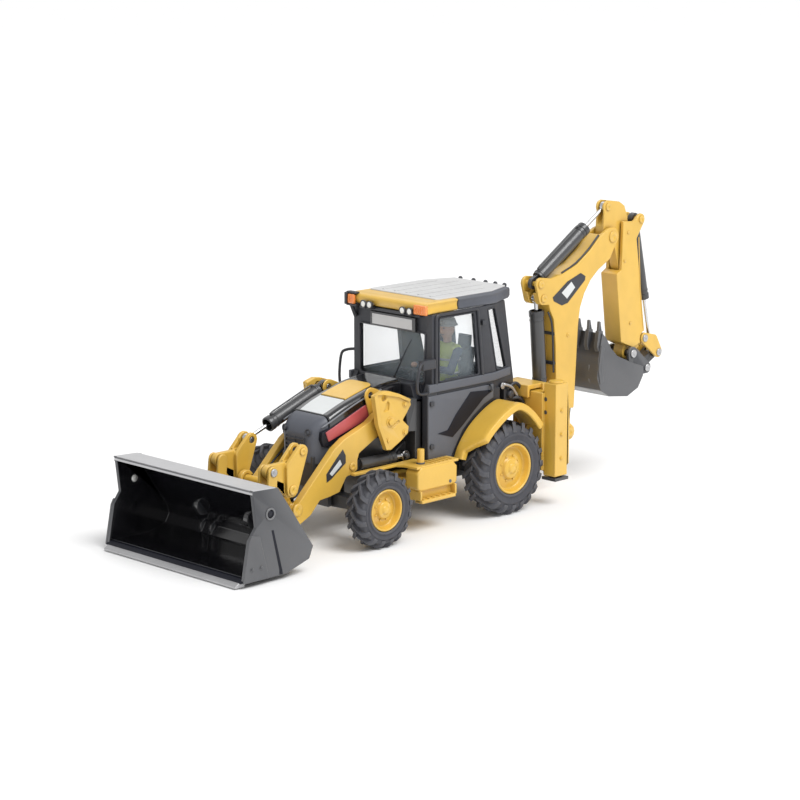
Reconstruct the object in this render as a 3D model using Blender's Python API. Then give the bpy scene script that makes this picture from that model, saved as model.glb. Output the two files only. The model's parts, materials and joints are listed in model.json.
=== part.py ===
"""Side-shift backhoe loader, a 1:50 scale model built as separate moving pieces.

Lengths in this script are millimetres until build_object() turns them into metres.
X points to the machine's left, -Y is forward and +Z is up. Shapes are laid out from
the front axle (Y = 0, ground Z = 0); the empty "machine" then moves everything so
that the origin lies under the middle of the model.
"""
import math

import bmesh
import bpy
from mathutils import Matrix, Vector

MM = 0.001

# ---------------------------------------------------------------- driving dimensions
MIDDLE_Y = 30.775          # distance from the front axle to the middle of the model
WHEELBASE = 44.0
FRONT_TYRE_R = 9.05
REAR_TYRE_R = 11.45
FRONT_WHEEL_X = 22.1       # outer face of the front tyres
REAR_WHEEL_X = 21.3        # outer face of the rear tyres
KINGPIN_X = 13.8
HOOD_HALF_WIDTH = 6.6
CAB_HALF_WIDTH = 13.4
BUCKET_HALF_WIDTH = 24.05
REAR_AXLE = (WHEELBASE, REAR_TYRE_R)
LOADER_X = 8.7             # plane of the loader arms, cranks and tilt cylinder
HOE_X = 11.0               # the backhoe is shifted to the left of the machine
POST_X = 21.0              # centre of each stabiliser post
PLAY = 0.3                 # gap between neighbouring pieces

# Pivots of the loader in the plane (Y, Z)
ARM_PIVOT = (10.8, 26.8)
BUCKET_PIVOT = (-21.6, 5.4)
CRANK_PIVOT = (-19.0, 15.2)
CRANK_LINK_PIN = (-25.0, 20.3)
CRANK_ROD_PIN = (-15.9, 23.7)
BUCKET_LINK_PIN = (-26.0, 10.45)
TILT_BASE = (8.8, 32.8)
LIFT_ROD_PIN = (18.5, 17.0)
LIFT_BARREL_PIN = (0.5, 17.4)

# Pivots of the backhoe in the plane (Y, Z)
SWING_Y = 66.5
BOOM_PIVOT = (72.3, 15.0)
BOOM_BARREL_PIN = (64.3, 26.5)
BOOM_ROD_PIN = (62.3, 50.3)
STICK_PIVOT = (88.2, 63.1)
STICK_BARREL_PIN = (61.2, 53.9)
STICK_ROD_PIN = (87.7, 70.6)
SCOOP_PIVOT = (95.8, 32.1)
LEVER_PIVOT = (101.7, 35.3)
LEVER_PIN = (107.4, 30.9)
SCOOP_LINK_PIN = (101.5, 27.7)
SCOOP_BARREL_PIN = (99.3, 66.5)

# Fine sizes
ROUND = 16                 # sides of a small round piece
TYRE_SIDES = 36
BARREL_R = 1.8
BORE_R = 1.5
ROD_R = 0.55
PIN_R = 0.7
RUNNING_PLAY = 0.06        # radial play of every pin in its hole
EYE_R = 1.5

# Colours: red, green, blue, roughness, metallic
PAINTS = {
    "yellow": (0.90, 0.58, 0.09, 0.38, 0.0),
    "black": (0.030, 0.031, 0.034, 0.45, 0.0),
    "grey": (0.13, 0.13, 0.135, 0.55, 0.0),
    "bucket": (0.055, 0.057, 0.062, 0.32, 0.2),
    "rubber": (0.045, 0.046, 0.050, 0.80, 0.0),
    "steel": (0.62, 0.62, 0.63, 0.25, 1.0),
    "orange": (0.90, 0.28, 0.04, 0.30, 0.0),
    "lamp": (0.90, 0.90, 0.86, 0.15, 0.0),
    "glass": (0.72, 0.83, 0.90, 0.05, 0.0),
    "vest": (0.62, 0.72, 0.14, 0.70, 0.0),
}


# ---------------------------------------------------------------- scene and materials
def clear_scene():
    for item in list(bpy.data.objects):
        bpy.data.objects.remove(item, do_unlink=True)


def material(node_name, paint):
    red, green, blue, roughness, metallic = PAINTS[paint]
    made = bpy.data.materials.new(node_name + "_material")
    made.use_nodes = True
    shader = made.node_tree.nodes["Principled BSDF"]
    shader.inputs["Base Color"].default_value = (red, green, blue, 1.0)
    shader.inputs["Roughness"].default_value = roughness
    shader.inputs["Metallic"].default_value = metallic
    return made


# ---------------------------------------------------------------- outlines
def arc(centre, radius, start, end, steps):
    """Points on an arc, angles in degrees, both ends included."""
    points = []
    for step in range(steps + 1):
        angle = math.radians(start + (end - start) * step / steps)
        points.append((centre[0] + radius * math.cos(angle), centre[1] + radius * math.sin(angle)))
    return points


def convex_hull(points):
    ordered = sorted(set((round(a, 5), round(b, 5)) for a, b in points))

    def half(sequence):
        chain = []
        for point in sequence:
            while len(chain) > 1:
                (ax, ay), (bx, by) = chain[-2], chain[-1]
                if (bx - ax) * (point[1] - ay) - (by - ay) * (point[0] - ax) > 1e-9:
                    break
                chain.pop()
            chain.append(point)
        return chain[:-1]

    return half(ordered) + half(reversed(ordered))


def rounded(*discs, steps=12):
    """Outline around discs given as (centre, radius), like a belt around pulleys."""
    points = []
    for centre, radius in discs:
        points += arc(centre, radius, 0, 360, steps)[:-1]
    return convex_hull(points)


def along(start, end, distance):
    """The point at a distance from start on the way to end."""
    way = Vector(end) - Vector(start)
    point = Vector(start) + way.normalized() * distance
    return (point.x, point.y)


# ---------------------------------------------------------------- solid blocks
def bridge_loops(bm, loops, capped=True, closed=False):
    """Skin between loops of equal length; caps the first and last unless closed."""
    count = len(loops[0])
    pairs = list(zip(loops, loops[1:]))
    if closed:
        pairs.append((loops[-1], loops[0]))
    for low, high in pairs:
        for i in range(count):
            j = (i + 1) % count
            bm.faces.new((low[i], low[j], high[j], high[i]))
    if capped and not closed:
        bm.faces.new(list(reversed(loops[0])))
        bm.faces.new(loops[-1])


def finished(bm):
    bmesh.ops.recalc_face_normals(bm, faces=bm.faces)
    return bm


def loft(loops):
    """Closed solid through loops of 3-D points."""
    bm = bmesh.new()
    made = [[bm.verts.new(point) for point in loop] for loop in loops]
    bridge_loops(bm, made)
    return finished(bm)


def plate(outline, x0, x1):
    """Outline in (Y, Z), extruded along X."""
    return loft([[(x0, y, z) for y, z in outline], [(x1, y, z) for y, z in outline]])


def slab(outline, z0, z1):
    """Outline in (X, Y), extruded along Z."""
    return loft([[(x, y, z0) for x, y in outline], [(x, y, z1) for x, y in outline]])


def curtain(outline, y0, y1):
    """Outline in (X, Z), extruded along Y."""
    return loft([[(x, y0, z) for x, z in outline], [(x, y1, z) for x, z in outline]])


def box(x0, x1, y0, y1, z0, z1):
    return slab([(x0, y0), (x1, y0), (x1, y1), (x0, y1)], z0, z1)


def lathe(profile, origin, direction, sides=ROUND):
    """Turn a profile of (distance along axis, radius); radius 0 closes on the axis."""
    bm = bmesh.new()
    turn = Vector((0, 0, 1)).rotation_difference(Vector(direction)).to_matrix().to_4x4()
    place = Matrix.Translation(Vector(origin)) @ turn
    rings = []
    for height, radius in profile:
        if radius == 0:
            rings.append([bm.verts.new(place @ Vector((0, 0, height)))])
            continue
        ring = []
        for i in range(sides):
            angle = math.tau * (i + 0.5) / sides
            point = Vector((radius * math.cos(angle), radius * math.sin(angle), height))
            ring.append(bm.verts.new(place @ point))
        rings.append(ring)
    on_axis = len(rings[0]) == 1
    pairs = list(zip(rings, rings[1:]))
    if not on_axis:
        pairs.append((rings[-1], rings[0]))
    for low, high in pairs:
        for i in range(sides):
            j = (i + 1) % sides
            if len(low) == 1:
                bm.faces.new((low[0], high[j], high[i]))
            elif len(high) == 1:
                bm.faces.new((low[i], low[j], high[0]))
            else:
                bm.faces.new((low[i], low[j], high[j], high[i]))
    return finished(bm)


def rod(start, end, radius, sides=ROUND):
    """Round bar between two 3-D points."""
    way = Vector(end) - Vector(start)
    return lathe([(0, 0), (0, radius), (way.length, radius), (way.length, 0)], start, way, sides)


def cross_pin(point, x0, x1, radius=PIN_R, sides=12):
    """Pin along X through a pivot given as (Y, Z)."""
    return rod((x0, *point), (x1, *point), radius, sides)


def pin_hole(point, x0, x1, pin=PIN_R, sides=12, play=RUNNING_PLAY):
    """Cutter for the hole of a pin, wide enough for the pin's corners to turn in."""
    return cross_pin(point, x0, x1, (pin + play) / math.cos(math.pi / sides), sides)


# ---------------------------------------------------------------- objects
def temporary(bm):
    mesh = bpy.data.meshes.new("block")
    bm.to_mesh(mesh)
    bm.free()
    item = bpy.data.objects.new("block", mesh)
    bpy.context.collection.objects.link(item)
    return item


def combined(blocks, cuts):
    """Union of blocks minus cuts, as one mesh, in millimetres."""
    base = temporary(blocks[0])
    helpers = []
    for operation, pieces in (("UNION", blocks[1:]), ("DIFFERENCE", cuts)):
        for piece in pieces:
            helper = temporary(piece)
            helpers.append(helper)
            modifier = base.modifiers.new(operation, "BOOLEAN")
            modifier.operation = operation
            modifier.object = helper
            modifier.solver = "EXACT"
    graph = bpy.context.evaluated_depsgraph_get()
    mesh = bpy.data.meshes.new_from_object(base.evaluated_get(graph))
    for item in [base] + helpers:
        bpy.data.objects.remove(item, do_unlink=True)
    return mesh


def build_object(name, paint, blocks, cuts=(), pivot=(0, 0, 0)):
    """Make one named object from blocks minus cuts, with its origin at pivot."""
    mesh = combined(list(blocks), list(cuts))
    mesh.transform(Matrix.Scale(MM, 4) @ Matrix.Translation(-Vector(pivot)))
    mesh.name = name
    mesh.materials.clear()
    mesh.materials.append(material(name, paint))
    mesh.shade_smooth()
    mesh.set_sharp_from_angle(angle=math.radians(32))
    item = bpy.data.objects.new(name, mesh)
    bpy.context.collection.objects.link(item)
    item.parent = MACHINE
    item.location = Vector(pivot) * MM
    return item


def machined(blocks, cuts):
    """Blocks minus cuts as one block, so that pins can be added afterwards."""
    mesh = combined(list(blocks), list(cuts))
    bm = bmesh.new()
    bm.from_mesh(mesh)
    bpy.data.meshes.remove(mesh)
    return bm


# ---------------------------------------------------------------- wheels and axles
def wheel(side, label, outer_x, axle_y, radius, width, rim_r):
    """Tyre and rim of one wheel; side is +1 for left and -1 for right."""
    outer = outer_x * side
    inward = (-side, 0, 0)
    centre = (outer, axle_y, radius)
    tread = radius / math.cos(math.pi / TYRE_SIDES)
    profile = [
        (0.55, rim_r + 0.45), (0.0, radius * 0.72), (0.0, radius * 0.84), (0.8, tread),
        (width - 0.8, tread), (width, radius * 0.84), (width, radius * 0.72), (width - 0.55, rim_r + 0.45),
    ]
    name = label + ("left" if side > 0 else "right")
    build_object("tyre_" + name, "rubber", [lathe(profile, centre, inward, TYRE_SIDES)], pivot=centre)
    dish = [
        (0.45, 0), (0.45, 1.2), (1.3, 1.9), (1.9, rim_r * 0.60), (2.2, rim_r * 0.82), (0.75, rim_r * 0.93),
        (0.75, rim_r + 0.12), (width - 0.8, rim_r + 0.12), (width - 0.8, rim_r * 0.86), (3.6, rim_r * 0.80),
        (width - 1.4, 2.0), (width - 1.4, 1.08), (1.6, 1.08), (1.6, 0),
    ]
    build_object("rim_" + name, "yellow", [lathe(dish, centre, inward, 24)], pivot=centre)


def front_axle():
    height = FRONT_TYRE_R
    reach = KINGPIN_X - 2.6
    beam = [
        (-reach, height - 1.5), (-4, height - 1.9), (4, height - 1.9), (reach, height - 1.5),
        (reach, height + 1.2), (4, height + 1.5), (-4, height + 1.5), (-reach, height + 1.2),
    ]
    blocks = [curtain(beam, -1.6, 1.6)]
    cuts = [rod((0, -4, height), (0, 4, height), 1.1)]
    for side in (1, -1):
        web = sorted(((KINGPIN_X - 3.1) * side, (KINGPIN_X - 1.9) * side))
        arm = sorted(((KINGPIN_X - 2.5) * side, (KINGPIN_X + 1.4) * side))
        blocks.append(box(*web, -1.5, 1.5, height - 2.8, height + 2.8))
        for low in (height - 2.8, height + 1.9):
            blocks.append(box(*arm, -1.4, 1.4, low, low + 0.9))
        foot, top = (KINGPIN_X * side, 0, height - 4), (KINGPIN_X * side, 0, height + 4)
        cuts.append(rod(foot, top, 0.68, 16))
    build_object("front_axle", "black", blocks, cuts, pivot=(0, 0, height))
    for side in (1, -1):
        kingpin = (KINGPIN_X * side, 0, height)
        turned = [
            (-2.7, 0), (-2.7, 0.6), (-1.6, 0.6), (-1.6, 1.4), (1.6, 1.4), (1.6, 0.6), (2.7, 0.6), (2.7, 0),
        ]
        stub = rod(kingpin, ((FRONT_WHEEL_X - 1.9) * side, 0, height), 1.0, 16)
        name = "knuckle_" + ("left" if side > 0 else "right")
        build_object(name, "black", [lathe(turned, kingpin, (0, 0, 1), 16), stub], pivot=kingpin)


# ---------------------------------------------------------------- chassis and body
def chassis():
    side_view = [
        (-8.0, 12.7), (-3.2, 12.7), (-3.2, 7.4), (-2.0, 7.4), (-2.0, 12.7), (2.0, 12.7), (2.0, 7.4),
        (55.6, 7.4), (55.6, 12.6), (22.4, 12.6), (22.4, 21.8), (10.0, 21.6), (-8.0, 20.3),
    ]
    height = FRONT_TYRE_R
    blocks = [
        plate(side_view, -5.2, 5.2),
        rod((0, -3.0, height), (0, 3.0, height), 1.0),
        box(-10.6, 10.6, 20.4, 22.4, 12.9, 29.8),
        box(-14.0, 14.0, WHEELBASE - 2.6, WHEELBASE + 2.6, 8.8, 12.6),
    ]
    for side in (1, -1):
        inner, outer = sorted((6.2 * side, 7.2 * side))
        lug = rounded((LIFT_ROD_PIN, 1.6), ((21.2, 14.6), 1.2), ((21.2, 19.0), 1.2))
        blocks.append(plate(lug, inner, outer))
        blocks.append(cross_pin(LIFT_ROD_PIN, 6.4 * side, 10.2 * side))
        start, end = (12.6 * side, *REAR_AXLE), ((REAR_WHEEL_X - 1.9) * side, *REAR_AXLE)
        blocks.append(rod(start, end, 1.0, 16))
    build_object("chassis_frame", "black", blocks)


def hood_section(y, half_width, bottom, top, shoulder):
    """Cross-section of the hood at one place along Y, with round shoulders."""
    right = arc((half_width - shoulder, top - shoulder), shoulder, 0, 90, 4)
    left = arc((shoulder - half_width, top - shoulder), shoulder, 90, 180, 4)
    outline = [(half_width, bottom)] + right + left + [(-half_width, bottom)]
    return [(x, y, z) for x, z in outline]


def hood():
    width = HOOD_HALF_WIDTH
    stations = [
        (19.8, width, 22.4, 35.0, 1.6), (12.0, width, 22.4, 34.2, 1.7), (4.0, width, 22.4, 32.2, 1.8),
        (0.0, width, 22.4, 30.9, 1.9), (-3.6, width - 0.25, 22.2, 29.5, 2.0),
    ]
    blocks = [loft([hood_section(*station) for station in stations])]
    cuts = []
    for side in (1, -1):
        recess = [(-3.0, 24.2), (9.2, 27.6), (9.2, 31.4), (-3.0, 27.6)]
        cuts.append(plate(recess, *sorted(((width - 0.5) * side, (width + 1) * side))))
    build_object("hood", "yellow", blocks, cuts)
    nose = [
        (-3.9, width - 0.3, 18.2, 29.3, 2.0), (-6.2, width - 1.1, 18.2, 28.2, 2.2),
        (-7.8, width - 2.4, 18.4, 26.9, 2.2), (-8.7, width - 3.8, 19.0, 25.4, 2.0),
    ]
    slots = [box(-3.2, 3.2, -10, -8.0, low, low + 0.5) for low in (20.0, 21.2, 22.4, 23.6)]
    relief = plate([(-8.4, 10.0), (0.0, 10.0), (0.0, 20.9), (-8.4, 20.9)], -5.5, 5.5)
    build_object("front_grille", "grey", [loft([hood_section(*s) for s in nose])], slots + [relief])


def cab_plan(z, front_y, half, side_y, rear_y, rear_half, inset=0.0):
    """Six-cornered plan of the cab at height z, pulled in by inset."""
    corners = [
        (half - inset, front_y + inset), (half - inset, side_y - inset * 0.4),
        (rear_half - inset * 0.6, rear_y - inset),
    ]
    return [(x, y, z) for x, y in corners] + [(-x, y, z) for x, y in reversed(corners)]


def cab_loop(z, inset=0.0):
    """Plan of the cab wall at height z; the rear leans forward above the belt line."""
    lean = max(0.0, (z - 31.0) / 20.0)
    return cab_plan(z, 23.2, CAB_HALF_WIDTH, 44.6 - 3.0 * lean, 55.0 - 3.4 * lean, 10.4, inset)


def cab():
    wall = 1.1
    shell = loft([cab_loop(z) for z in (29.8, 31.0, 50.9)])
    lower = slab([(-13.4, 23.2), (13.4, 23.2), (13.4, 47.0), (-13.4, 47.0)], 13.2, 30.2)
    hollow_top = loft([cab_loop(z, wall) for z in (30.9, 31.0, 52.5)])
    hollow_low = box(-11.2, 11.2, 24.4, 46.2, 14.6, 31.6)
    seat_room = box(-5.0, 5.0, 45.0, 48.8, 29.0, 31.6)
    cowl_front = [(-10.4, 30.3), (10.4, 30.3), (9.4, 33.6), (6.0, 35.3), (-6.0, 35.3), (-9.4, 33.6)]
    cowl = curtain(cowl_front, 20.3, 24.0)
    windscreen = curtain([(-10.9, 34.0), (10.9, 34.0), (11.3, 46.3), (-11.3, 46.3)], 19.0, 27.0)
    door_light = plate([(25.6, 34.3), (39.4, 34.3), (37.6, 49.9), (25.6, 49.9)], -20, 20)
    quarter = plate([(46.4, 34.3), (51.3, 34.3), (46.3, 49.9), (42.6, 49.9)], -20, 20)
    rear_light = curtain([(-8.8, 33.0), (8.8, 33.0), (7.8, 49.4), (-7.8, 49.4)], 49.5, 57.0)
    wheel_room = []
    for side in (1, -1):
        arch = arc(REAR_AXLE, 12.9, 0, 180, 12)
        wheel_room.append(plate(arch, *sorted((12.4 * side, 20 * side))))
    build_object(
        "cab_frame", "black", [shell, lower, cowl],
        [hollow_top, hollow_low, seat_room, windscreen, door_light, quarter, rear_light] + wheel_room,
    )
    gap = wall + PLAY
    outer = [cab_loop(z, gap) for z in (31.6, 50.7)]
    inner = [cab_loop(z, gap + 0.45) for z in (31.6, 50.7)]
    bm = bmesh.new()
    loops = [[bm.verts.new(p) for p in loop] for loop in (outer[0], outer[1], inner[1], inner[0])]
    bridge_loops(bm, loops, closed=True)
    build_object("glazing", "glass", [finished(bm)])


def roof():
    levels = ((51.2, 0.2), (51.5, -0.5), (53.0, -0.6), (53.9, 1.0))
    loops = []
    for z, inset in levels:
        loops.append(cab_plan(z, 22.1, 13.1, 46.0, 54.4, 9.6, inset))
    build_object("roof", "yellow", [loft(loops)])
    bar = [box(-10.2, 10.2, 22.0, 22.9, 49.9, 50.9)]
    for x in (-7.2, -5.1, 6.1, 8.5):
        bar.append(rod((x, 20.3, 51.5), (x, 21.3, 51.5), 0.8, 14))
        bar.append(box(x - 0.35, x + 0.35, 20.8, 22.3, 50.3, 51.0))
    build_object("front_lamps", "lamp", bar)
    for name, low, high in (("left", 9.6, 13.8), ("right", -12.9, -10.7)):
        signal = box(low, high, 20.5, 21.4, 51.0, 53.3)
        build_object("indicator_" + name, "orange", [signal])


def interior():
    seat = [
        (33.5, 14.9), (45.2, 14.9), (45.8, 29.4), (47.8, 30.6), (49.0, 38.5), (46.6, 38.9), (44.6, 28.4),
        (34.5, 27.8), (33.5, 26.0),
    ]
    build_object("seat", "black", [plate(seat, -4.2, 4.2)])
    base, top = (0, 27.4, 14.9), (0, 29.4, 32.4)
    lean = Vector(top) - Vector(base)
    ring = [(-0.35, 2.3), (0.35, 2.3), (0.35, 3.0), (-0.35, 3.0)]
    spoke = rod((-2.6, *top[1:]), (2.6, *top[1:]), 0.4, 10)
    parts = [rod(base, top, 0.6, 12), lathe(ring, top, lean, 24), spoke]
    build_object("steering_wheel", "black", parts)
    torso = [
        (38.3, 28.4), (44.2, 28.9), (46.0, 38.8), (44.0, 41.0), (40.4, 40.8), (38.9, 37.0),
    ]
    thigh = [(33.6, 28.1), (43.6, 28.8), (43.2, 31.4), (33.2, 30.8)]
    shin = [(30.2, 14.9), (33.1, 14.9), (33.1, 27.4), (36.4, 29.0), (35.6, 30.7), (32.0, 30.7)]
    parts = [plate(torso, -3.3, 3.3), plate(rounded(((42.3, 44.0), 2.3), ((42.4, 40.6), 1.5)), -2.0, 2.0)]
    for side in (1, -1):
        legs = plate(thigh, *sorted((0.7 * side, 3.2 * side)))
        parts += [legs]
        elbow, hand = (4.2 * side, 39.6, 34.2), (2.3 * side, 33.5, 35.2)
        parts += [rod((3.4 * side, 42.6, 39.6), elbow, 1.0, 10), rod(elbow, hand, 0.85, 10)]
    parts += [plate(shin, 0.9, 3.0), plate(shin, -3.0, -0.9)]
    build_object("operator", "vest", parts, [plate(seat, -4.5, 4.5)])


def towers():
    outline = [
        (5.2, 33.8), (8.0, 34.6), (10.2, 34.3), (13.4, 33.2), (17.2, 31.4), (17.8, 30.0), (16.4, 28.2),
        (15.0, 26.6), (17.0, 24.8), (16.8, 23.2), (14.4, 21.6), (11.0, 19.9), (9.2, 20.2), (6.4, 26.7),
    ]
    notch = [(8.6, 29.6), (10.4, 29.6), (10.6, 31.4), (9.8, 31.8)]
    slot = rounded(((11.6, 25.4), 0.35), ((13.6, 26.4), 0.35))
    for side in (1, -1):
        def span(a, b):
            return sorted((a * side, b * side))
        web = [(16.6, 27.6), (16.9, 23.4), (20.1, 23.0), (20.1, 31.0), (16.8, 31.6)]
        lug = rounded((ARM_PIVOT, 1.9), (TILT_BASE, 1.9), ((17.2, 30.0), 1.2), steps=12)
        blocks = [
            plate(outline, *span(10.9, 11.9)), plate(web, *span(6.95, 11.5)), plate(lug, *span(6.95, 7.45)),
            cross_pin(ARM_PIVOT, 7.1 * side, 11.5 * side, 1.1),
        ]
        cuts = [plate(notch, *span(11.4, 13)), plate(slot, *span(11.5, 13))]
        cuts.append(pin_hole(TILT_BASE, 6 * side, 13 * side))
        build_object("tower_" + ("left" if side > 0 else "right"), "yellow", blocks, cuts)


def steps_and_fenders():
    top = [
        (30.4, 15.2), (31.3, 17.2), (32.2, 18.6), (33.2, 19.9), (35.2, 22.0), (37.6, 23.8), (40.4, 25.5),
        (43.5, 26.9), (46.2, 27.4), (49.4, 26.0), (52.4, 23.5), (54.6, 21.0),
    ]
    under = [tuple(along(point, REAR_AXLE, 1.0)) for point in reversed(top)]
    tank = [
        (13.9, 8.8), (14.8, 7.9), (26.4, 7.9), (27.2, 8.8), (27.2, 14.6), (26.0, 15.9), (15.1, 15.9),
        (13.9, 14.6),
    ]
    foothold = [(16.4, 10.0), (16.4, 17.2), (18.4, 18.8), (20.2, 19.8), (24.0, 20.4), (24.0, 10.0)]
    for side in (1, -1):
        name = "left" if side > 0 else "right"
        blocks = [
            plate(tank, *sorted((13.8 * side, 18.0 * side))),
            box(*sorted((5.5 * side, 14.5 * side)), 14.6, 26.6, 8.9, 12.8),
            box(*sorted((17.4 * side, 19.2 * side)), 14.2, 25.6, 7.5, 8.4),
            rod((15.4 * side, 17.4, 15.4), (15.4 * side, 17.4, 19.8), 0.85, 12),
        ]
        build_object("step_" + name, "yellow", blocks)
        arch = plate(top + under, *sorted((13.75 * side, 21.2 * side)))
        cut_away = curtain([(x * side, z) for x, z in foothold], 25.0, 42.0)
        build_object("fender_" + name, "yellow", [arch], [cut_away])


# ---------------------------------------------------------------- loader
def loader_arms():
    side_view = [
        (8.4, 28.6), (6.0, 27.0), (-1.9, 24.3), (-5.1, 22.4), (-10.5, 17.3), (-15.6, 12.4), (-20.2, 8.0),
    ]
    side_view += arc(BUCKET_PIVOT, 2.1, 80, 275, 7)
    side_view += [
        (-15.8, 6.6), (-12.8, 8.0), (-9.9, 11.0), (-6.8, 11.3), (-3.6, 11.9), (-1.4, 15.2),
        (0.5, 15.5), (2.2, 16.4), (2.2, 18.6), (2.75, 20.15), (8.2, 22.9),
    ]
    side_view += arc(ARM_PIVOT, 2.6, -80, 110, 8)
    inner, outer = LOADER_X - 1.0, LOADER_X + 1.0
    tube = (-17.0, 10.0)
    blocks, cuts, pins = [], [], []
    for side in (1, -1):
        blocks.append(plate(side_view, *sorted((inner * side, outer * side))))
        lug = rounded((CRANK_PIVOT, 2.1), (tube, 1.5))
        blocks.append(plate(lug, *sorted((5.3 * side, 6.6 * side))))
        cuts.append(pin_hole(ARM_PIVOT, 5 * side, 12 * side, 1.1))
        cuts.append(pin_hole(BUCKET_PIVOT, 5 * side, 12 * side, 0.8))
        cuts.append(pin_hole(CRANK_PIVOT, 4 * side, 7 * side, 1.1, ROUND))
        eye_room = rounded((LIFT_BARREL_PIN, EYE_R + PLAY), ((3.4, 17.2), 1.5), ((3.0, 18.8), 1.5))
        cuts.append(plate(eye_room, *sorted(((LOADER_X - 0.6) * side, (LOADER_X + 0.6) * side))))
        pins.append(cross_pin(LIFT_BARREL_PIN, (inner + 0.2) * side, (outer - 0.2) * side))
    blocks.append(rod((-inner - 0.5, *tube), (inner + 0.5, *tube), 1.4))
    build_object("loader_arms", "yellow", [machined(blocks, cuts)] + pins, pivot=(0, *ARM_PIVOT))


def bell_cranks():
    body = rounded((CRANK_PIVOT, 2.0), (CRANK_LINK_PIN, 1.5), ((-17.6, 20.0), 1.8))
    cheek = rounded((CRANK_PIVOT, 1.7), (CRANK_ROD_PIN, 1.7), ((-19.4, 20.6), 1.4))
    blocks, cuts = [], []
    for side in (1, -1):
        blocks.append(plate(body, *sorted((7.9 * side, 9.5 * side))))
        blocks.append(plate(cheek, *sorted((6.95 * side, 8.05 * side))))
        blocks.append(plate(cheek, *sorted((9.35 * side, 10.45 * side))))
        clear = rounded((CRANK_ROD_PIN, EYE_R + 0.5), (along(CRANK_ROD_PIN, TILT_BASE, 4), 2.2))
        cuts.append(plate(clear, *sorted((7.95 * side, 9.45 * side))))
        cuts.append(pin_hole(CRANK_LINK_PIN, 6 * side, 12 * side))
        cuts.append(pin_hole(CRANK_ROD_PIN, 6 * side, 12 * side))
    blocks.append(rod((-8.4, *CRANK_PIVOT), (8.4, *CRANK_PIVOT), 1.1))
    build_object("bell_cranks", "yellow", blocks, cuts, pivot=(0, *CRANK_PIVOT))


def tilt_links():
    outline = rounded((CRANK_LINK_PIN, 1.4), (BUCKET_LINK_PIN, 1.4))
    for side in (1, -1):
        blocks = [plate(outline, *sorted((low * side, (low + 0.7) * side))) for low in (6.8, 9.9)]
        blocks.append(cross_pin(CRANK_LINK_PIN, 7.2 * side, 10.2 * side))
        blocks.append(cross_pin(BUCKET_LINK_PIN, 7.2 * side, 10.2 * side))
        name = "tilt_link_" + ("left" if side > 0 else "right")
        pivot = (LOADER_X * side, *CRANK_LINK_PIN)
        build_object(name, "yellow", blocks, pivot=pivot)


def loader_bucket():
    outer = [
        (-43.3, 21.45), (-36.3, 21.1), (-32.0, 14.2), (-27.6, 8.0), (-26.9, 5.2), (-28.6, 2.6),
        (-33.6, 1.2), (-44.6, 1.2),
    ]
    inner = [
        (-44.6, 2.1), (-33.9, 2.1), (-29.4, 3.3), (-28.0, 5.5), (-28.6, 7.7), (-32.8, 13.7),
        (-36.9, 20.1), (-43.3, 20.5),
    ]
    wrapper = plate(outer + inner, -BUCKET_HALF_WIDTH, BUCKET_HALF_WIDTH)
    cheek = [
        (-43.3, 21.5), (-35.8, 21.1), (-25.4, 6.0), (-26.6, 3.2), (-33.6, 1.1), (-46.2, 1.1),
        (-44.4, 10.3), (-42.3, 13.1),
    ]
    blocks, cuts = [wrapper], []
    ear = rounded((BUCKET_PIVOT, 1.9), ((-27.6, 4.6), 1.9))
    link_ear = rounded((BUCKET_LINK_PIN, 1.35), ((-30.0, 10.2), 2.2))
    for side in (1, -1):
        blocks.append(plate(cheek, *sorted(((BUCKET_HALF_WIDTH - 1.0) * side, BUCKET_HALF_WIDTH * side))))
        through = sorted(((BUCKET_HALF_WIDTH - 2) * side, (BUCKET_HALF_WIDTH + 2) * side))
        cuts.append(cross_pin((-38.2, 15.6), *through, 1.0))
        for low in (6.45, 10.0):
            blocks.append(plate(ear, *sorted((low * side, (low + 0.95) * side))))
        blocks.append(plate(link_ear, *sorted((7.95 * side, 9.45 * side))))
        blocks.append(cross_pin(BUCKET_PIVOT, 6.6 * side, 10.8 * side, 0.8))
        cuts.append(pin_hole(BUCKET_LINK_PIN, 7 * side, 10.4 * side, play=0.26))
    build_object("bucket_shell", "bucket", blocks, cuts, pivot=(0, *BUCKET_PIVOT))
    edge = [(-47.7, 0.1), (-44.95, 0.1), (-44.95, 1.9), (-45.6, 1.9), (-47.7, 0.6)]
    teeth = [plate(edge, -BUCKET_HALF_WIDTH + 1.1, BUCKET_HALF_WIDTH - 1.1)]
    build_object("cutting_edge", "steel", teeth, pivot=(0, *BUCKET_PIVOT))


# ---------------------------------------------------------------- hydraulic cylinders
def ram_barrel(name, x, base, eye, length, radius=BARREL_R, bore=BORE_R, eye_half=0.7, pin=PIN_R, start=2.2):
    """Barrel hinged at base, open towards eye, with its bore over most of its length."""
    way = (Vector(eye) - Vector(base)).normalized()
    point = Vector((x, *base))
    direction = Vector((0, way.x, way.y))
    profile = [
        (start, 0), (start, radius), (length, radius), (length, bore), (start + 0.9, bore), (start + 0.9, 0),
    ]
    blocks = [
        lathe(profile, point, direction, 16),
        plate(rounded((base, EYE_R), (along(base, eye, start + 0.3), 1.0)), x - eye_half, x + eye_half),
    ]
    cuts = [pin_hole(base, x - 3, x + 3, pin)]
    build_object(name, "black", blocks, cuts, pivot=(x, *base))


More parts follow.
